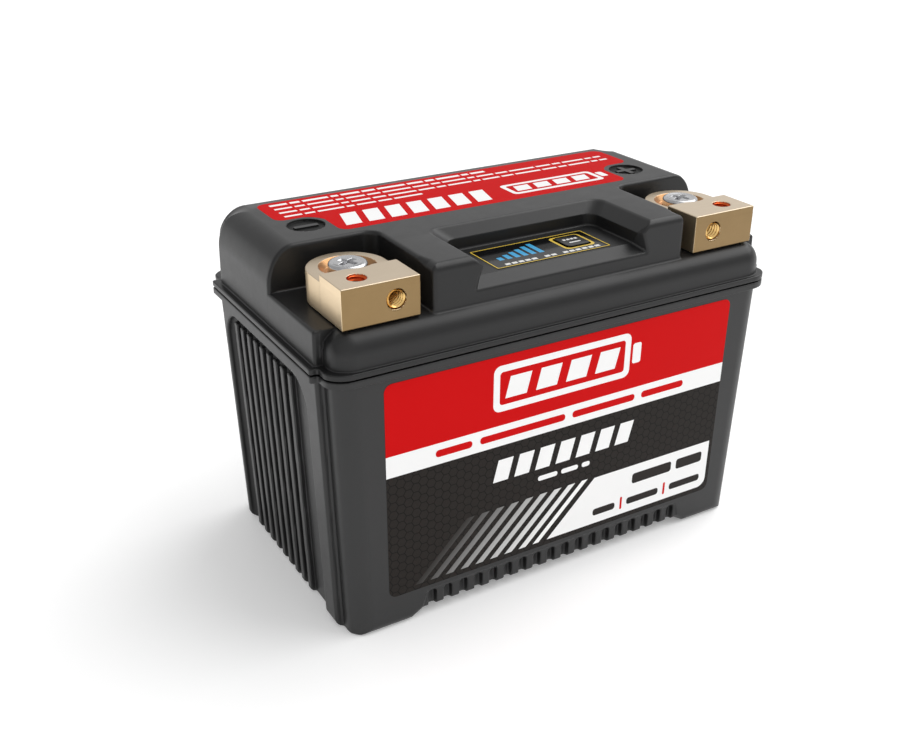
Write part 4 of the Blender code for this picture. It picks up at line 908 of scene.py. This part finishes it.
def make_front_label():
    sheet = Print(front_place, INK)
    field, crimson, pale, stripes, dark = range(5)
    near, far, top, red_edge = -58.0, 58.5, 77.5, 56.3
    sheet.add(rounded(near, far, 10.6, top, 2.4), 0, field)
    upper = [(u, v) for u, v in rounded(near, far, 50.0, top, 2.4) if v > 60]
    sheet.add(upper + [(near, red_edge), (far, red_edge)], 1, crimson)
    sheet.add([(far, red_edge), (near, red_edge), (near, 49.8), (far, 49.8)], 1, pale)

    # The white panel, and the stripes that lead into it.
    panel = [(57.2, 28.9), (11.8, 28.9), (-4.8, 12.3)]
    for step in range(7):
        angle = math.radians(270 + 90 * step / 6)
        panel.append((54.2 + 3 * math.cos(angle), 15.3 + 3 * math.sin(angle)))
    sheet.add(panel, 1, pale)
    for number in range(9):
        left = -9.9 - 5.0 * number
        width = 2.5 if number else 2.1
        sheet.add(slanted(left, left + width, 12.3, 29.3, 1.0), 1, stripes)

    # A generic battery sign on the red field.
    sheet.add(rounded(-25.0, 21.5, 60.6, 74.6, 2.2), 2, pale)
    sheet.add(rounded(22.4, 25.4, 64.4, 70.8, 0.7), 2, pale)
    sheet.add(rounded(-23.0, 19.5, 62.6, 72.6, 1.0), 3, crimson)
    for number in range(4):
        left = -21.2 + 10.1 * number
        sheet.add(slanted(left, left + 7.0, 64.4, 70.8, 0.25), 4, pale)

    # Plain bars and slanted blocks where the lettering would be.
    for x0, x1 in ((-43.0, -31.5), (-29.0, -0.5), (2.0, 24.5), (27.0, 43.0)):
        sheet.add(rounded(x0, x1, 52.0, 54.2, 1.0), 2, crimson)
    for number in range(7):
        left = -24.5 + 7.15 * number
        sheet.add(slanted(left, left + 5.0, 38.2, 45.2, 0.25), 1, pale)
    for x0, x1 in ((-9.0, -2.2), (-0.8, 5.2), (6.6, 9.5)):
        sheet.add(rounded(x0, x1, 34.1, 35.7, 0.7), 1, pale)
    for x0, x1 in ((26.5, 42.0), (44.0, 54.5)):
        sheet.add(rounded(x0, x1, 22.2, 25.8, 0.9), 2, dark)
    for x0, x1 in ((12.0, 20.4), (25.0, 37.5), (42.1, 54.5)):
        sheet.add(rounded(x0, x1, 15.1, 17.5, 0.9), 2, dark)
    for x in (22.4, 39.5):
        sheet.add(rounded(x, x + 0.8, 14.2, 18.6, 0.3), 2, crimson)
    sheet.piece("front_label_foil", [honeycomb, red, white, fading, ink_dark],
                nodes=["front_label"], slot="front_label_print")


def top_place(u, v, height):
    """A point on the top foil."""
    return (u, v, LID_TOP + 0.001 + height)


def top_outline():
    """The red foil on the lid, notched round the two polarity marks."""
    right = []
    for cx, cy, r, start, end in ((46.0, 1.2, 3.0, -90, 0), (55.6, 7.5, 6.9, 163, 104),
                                  (58.6, 17.2, 3.0, -80, 0), (58.6, 28.0, 3.0, 0, 90)):
        for step in range(9):
            angle = math.radians(start + (end - start) * step / 8)
            right.append((cx + r * math.cos(angle), cy + r * math.sin(angle)))
    return right + [(-x, y) for x, y in reversed(right)]


def make_top_label():
    sheet = Print(top_place, INK)
    crimson, pale = range(2)
    sheet.add(top_outline(), 0, crimson)
    words = (5.4, 3.1, 8.2, 2.4, 6.1, 4.3, 9.4)
    for y, x1, thick in ((28.2, 15.0, 1.5), (24.4, 58.0, 1.15), (20.7, 58.0, 1.15),
                         (17.0, -12.0, 1.15)):
        bars(sheet, -58.0, x1, y - thick / 2, y + thick / 2, words, 1, pale, 0.9)
    for number in range(7):
        left = -46.0 + 7.1 * number
        sheet.add(slanted(left, left + 4.9, 1.6, 11.6, 0.25), 1, pale)
    sheet.add(rounded(10.0, 43.6, 2.2, 12.0, 1.6), 1, pale)
    sheet.add(rounded(44.4, 46.8, 4.8, 9.4, 0.6), 1, pale)
    sheet.add(rounded(11.5, 42.1, 3.7, 10.5, 0.8), 2, crimson)
    for number in range(4):
        left = 12.6 + 7.2 * number
        sheet.add(slanted(left, left + 5.2, 4.8, 9.4, 0.25), 3, pale)
    sheet.piece("top_label_foil", [top_red, top_white],
                nodes=["top_label"], slot="top_label_print")


# ---------------------------------------------------------------- display

def make_display():
    sheet = Print(lambda u, v, height: (u, v, 98.34 + height), 0.1)
    black, yellow, blue, pale = range(4)
    window = rounded(6.8, 15.4, -29.6, -21.0, 1.4)
    outer = rounded(-18.7, 18.7, -33.4, -18.7, 0.5)
    # The black film is two plates beside the button window and two across its ends.
    for x0, x1, y0, y1 in ((-18.7, 6.8, -33.4, -18.7), (15.4, 18.7, -33.4, -18.7),
                           (6.8, 15.4, -33.4, -29.6), (6.8, 15.4, -21.0, -18.7)):
        sheet.add([(x0, y0), (x1, y0), (x1, y1), (x0, y1)], 0, black)
    fine = Print(lambda u, v, height: (u, v, 98.44 + height), INK)
    fine.add(outer, 0, yellow, holes=rounded(-18.35, 18.35, -33.05, -19.05, 0.4))
    fine.add(rounded(6.0, 16.2, -30.3, -20.3, 1.6), 0, yellow, holes=window)
    for number in range(6):
        x = -14.1 + 2.6 * number
        back = -26.3 + 1.06 * number
        fine.add(slanted(x - 0.78, x + 0.78, -28.5, back), 0, blue)
    for start, count in ((-15.2, 5), (-2.4, 2), (3.7, 6)):
        for number in range(count):
            x = start + 2.15 * number
            fine.add(slanted(x, x + 1.6, -32.3, -31.1), 0, pale)

    # The thin print becomes part of the thicker film.
    base = len(sheet.points)
    sheet.points += fine.points
    sheet.faces += [tuple(base + index for index in face) for face in fine.faces]
    sheet.slots += fine.slots
    sheet.piece("display_film_sheet", [film_black, film_yellow, film_blue, film_white],
                nodes=["display_overlay"], slot="display_film")


def button_field(x, y, z):
    """The square cap and the round stem that reaches down to the switch."""
    u, v = np.abs(x - BUTTON_X) - 2.7, np.abs(y - BUTTON_Y) - 2.7
    side = np.hypot(np.maximum(u, 0), np.maximum(v, 0)) + np.minimum(np.maximum(u, v), 0) - 1.2
    cap = meet(meet(side, z - BUTTON_TOP, 0.2), 97.7 - z, 0.1)
    reach = np.hypot(x - BUTTON_X, y - BUTTON_Y)
    return np.minimum(cap, np.maximum(reach - 1.8, np.maximum(95.4 - z, z - 98.0)))


def make_button():
    xs = steps((6.9, 15.3, 0.14))
    ys = steps((-29.5, -21.1, 0.14))
    zs = steps((95.1, 97.5, 0.4), (97.5, 99.1, 0.08))
    data = net_mesh("test_button_cap", button_field, (xs, ys, zs), (BUTTON_TOP,))
    shade_from_field(data, button_field)
    make_piece("test_button_cap", data, [film_black], body=BUTTON, nodes=["test_button"],
               slot="button_film")

    sheet = Print(lambda u, v, height: (u, v, BUTTON_TOP + 0.002 + height), INK)
    for number in range(4):
        x = 8.6 + 1.3 * number
        sheet.add(slanted(x, x + 0.95, -24.9, -23.9), 0, 0)
    sheet.add(rounded(9.2, 13.0, -27.2, -26.5, 0.3), 0, 0)
    sheet.piece("test_button_mark", [film_white], body=BUTTON, slot="button_film")


# ---------------------------------------------------------------- inner pieces

def paint_inner_parts():
    """Finishes for the CAD pieces that stay: those inside the battery."""
    looks = {
        "seal": finish("inner_rubber", (0.012, 0.012, 0.012), (0.02, 0.02, 0.02), 0.75),
        "post": brass_finish("inner_brass", (0.58, 0.42, 0.20), (0.68, 0.50, 0.26), 0.3),
        "strap": brass_finish("inner_copper", (0.70, 0.32, 0.18), (0.80, 0.40, 0.24), 0.3),
        "cell": finish("inner_cell_sleeve", (0.04, 0.14, 0.42), (0.055, 0.18, 0.5), 0.35),
        "holder": finish("inner_holder_plastic", (0.045, 0.045, 0.05), (0.06, 0.06, 0.065), 0.55),
        "busbar": finish("inner_nickel", (0.58, 0.56, 0.52), (0.68, 0.66, 0.62), 0.3, 1.0),
        "foam": finish("inner_foam", (0.15, 0.15, 0.16), (0.22, 0.22, 0.23), 0.95, grain=1500.0,
                       grain_depth=0.0002, grain_strength=0.8),
        "paper": finish("inner_paper", (0.42, 0.49, 0.37), (0.5, 0.57, 0.45), 0.85),
        "board": finish("inner_circuit_board", (0.015, 0.15, 0.05), (0.025, 0.21, 0.075), 0.4),
        "chip": finish("inner_chip_resin", (0.016, 0.016, 0.016), (0.026, 0.026, 0.026), 0.5),
        "white": finish("inner_nylon", (0.76, 0.74, 0.66), (0.84, 0.82, 0.75), 0.5),
        "glass": finish("inner_display_glass", (0.02, 0.03, 0.04), (0.035, 0.045, 0.06), 0.1),
        "screw": finish("inner_screw_steel", (0.5, 0.5, 0.5), (0.6, 0.6, 0.6), 0.25, 1.0),
        "lead": finish("inner_lead_vinyl", (0.55, 0.04, 0.03), (0.65, 0.06, 0.05), 0.45),
    }
    kinds = (("seam_seal", "seal"), ("terminal_post", "post"), ("strap", "strap"),
             ("cell_holder", "holder"), ("cell_", "cell"), ("busbar", "busbar"), ("foam", "foam"),
             ("insulation", "paper"), ("balance_board", "board"), ("indicator_board", "board"),
             ("balance_connector", "white"), ("board_spacer", "white"), ("board_screw", "screw"),
             ("display_screw", "screw"), ("charge_display", "glass"), ("balance_lead", "lead"),
             ("terminal_screw", "screw"))
    for name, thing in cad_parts.items():
        look = looks["chip"]
        for start, kind in kinds:
            if name.startswith(start):
                look = looks[kind]
                break
        for slot in thing.material_slots:
            slot.material = look


# ---------------------------------------------------------------- surroundings

def make_floor():
    """A wide pale table top of studio paper."""
    mesh = bmesh.new()
    bmesh.ops.create_circle(mesh, cap_ends=True, segments=96, radius=6.0)
    bmesh.ops.translate(mesh, verts=mesh.verts, vec=(0.0, 0.0, -0.00002))
    data = bpy.data.meshes.new("studio_floor")
    mesh.to_mesh(data)
    mesh.free()
    floor = bpy.data.objects.new("studio_floor", data)
    bpy.context.scene.collection.objects.link(floor)
    material, tree, shader = new_material("studio_paper")
    where = coordinates(tree)
    tree.links.new(blend(tree, noise(tree, where, 3.0), (0.87, 0.87, 0.87), (0.89, 0.89, 0.89)),
                   shader.inputs["Base Color"])
    shader.inputs["Roughness"].default_value = 0.9
    shader.inputs["Specular IOR Level"].default_value = 0.1
    shader.inputs["Emission Color"].default_value = (1.0, 1.0, 1.0, 1.0)
    shader.inputs["Emission Strength"].default_value = 0.22
    data.materials.append(material)


def add_sun(name, toward, angle, level):
    """A soft far light. level is the brightness it alone gives a white sheet facing it."""
    lamp = bpy.data.lights.new(name, "SUN")
    lamp.angle = math.radians(angle)
    lamp.energy = level * math.pi
    thing = bpy.data.objects.new(name, lamp)
    thing.rotation_euler = (-Vector(toward)).to_track_quat("-Z", "Y").to_euler()
    bpy.context.scene.collection.objects.link(thing)


def make_lights():
    """A pale room, white along the horizon and brighter behind on the right, with two suns."""
    world = bpy.data.worlds.new("studio")
    world.use_nodes = True
    tree = world.node_tree
    backdrop = tree.nodes["Background"]
    where = tree.nodes.new("ShaderNodeTexCoord").outputs["Generated"]
    toward = tree.nodes.new("ShaderNodeVectorMath")
    toward.operation = "DOT_PRODUCT"
    tree.links.new(where, toward.inputs[0])
    toward.inputs[1].default_value = (0.507, 0.811, 0.292)
    glow = remap(tree, toward.outputs["Value"], 0.55, 0.9, 0.52, 0.80, smooth=True)
    split = tree.nodes.new("ShaderNodeSeparateXYZ")
    tree.links.new(where, split.inputs[0])
    haze = remap(tree, split.outputs["Z"], 0.02, 0.20, 1.0, 0.0, smooth=True)
    tree.links.new(arithmetic(tree, "MAXIMUM", glow, haze), backdrop.inputs["Strength"])
    backdrop.inputs["Color"].default_value = (1.0, 1.0, 1.0, 1.0)
    bpy.context.scene.world = world
    add_sun("key", (0.62, -0.05, 0.78), 60.0, 0.62)
    add_sun("fill", (-0.25, -0.75, 0.60), 80.0, 0.12)
    bpy.context.scene.view_settings.view_transform = "Standard"


def make_camera():
    lens = bpy.data.cameras.new("photo_view")
    lens.sensor_width = 36.0
    lens.lens = 44.18
    lens.shift_y = 0.0333
    lens.clip_start = 0.01
    lens.clip_end = 20.0
    thing = bpy.data.objects.new("photo_view", lens)
    thing.location = (-0.168789, -0.265743, 0.202099)
    thing.rotation_euler = (math.radians(62.359), 0.0, math.radians(-30.225))
    bpy.context.scene.collection.objects.link(thing)
    bpy.context.scene.camera = thing


make_camera()
make_case()
make_lid()
make_terminals()
make_front_label()
make_top_label()
make_display()
make_button()
paint_inner_parts()
make_floor()
make_lights()
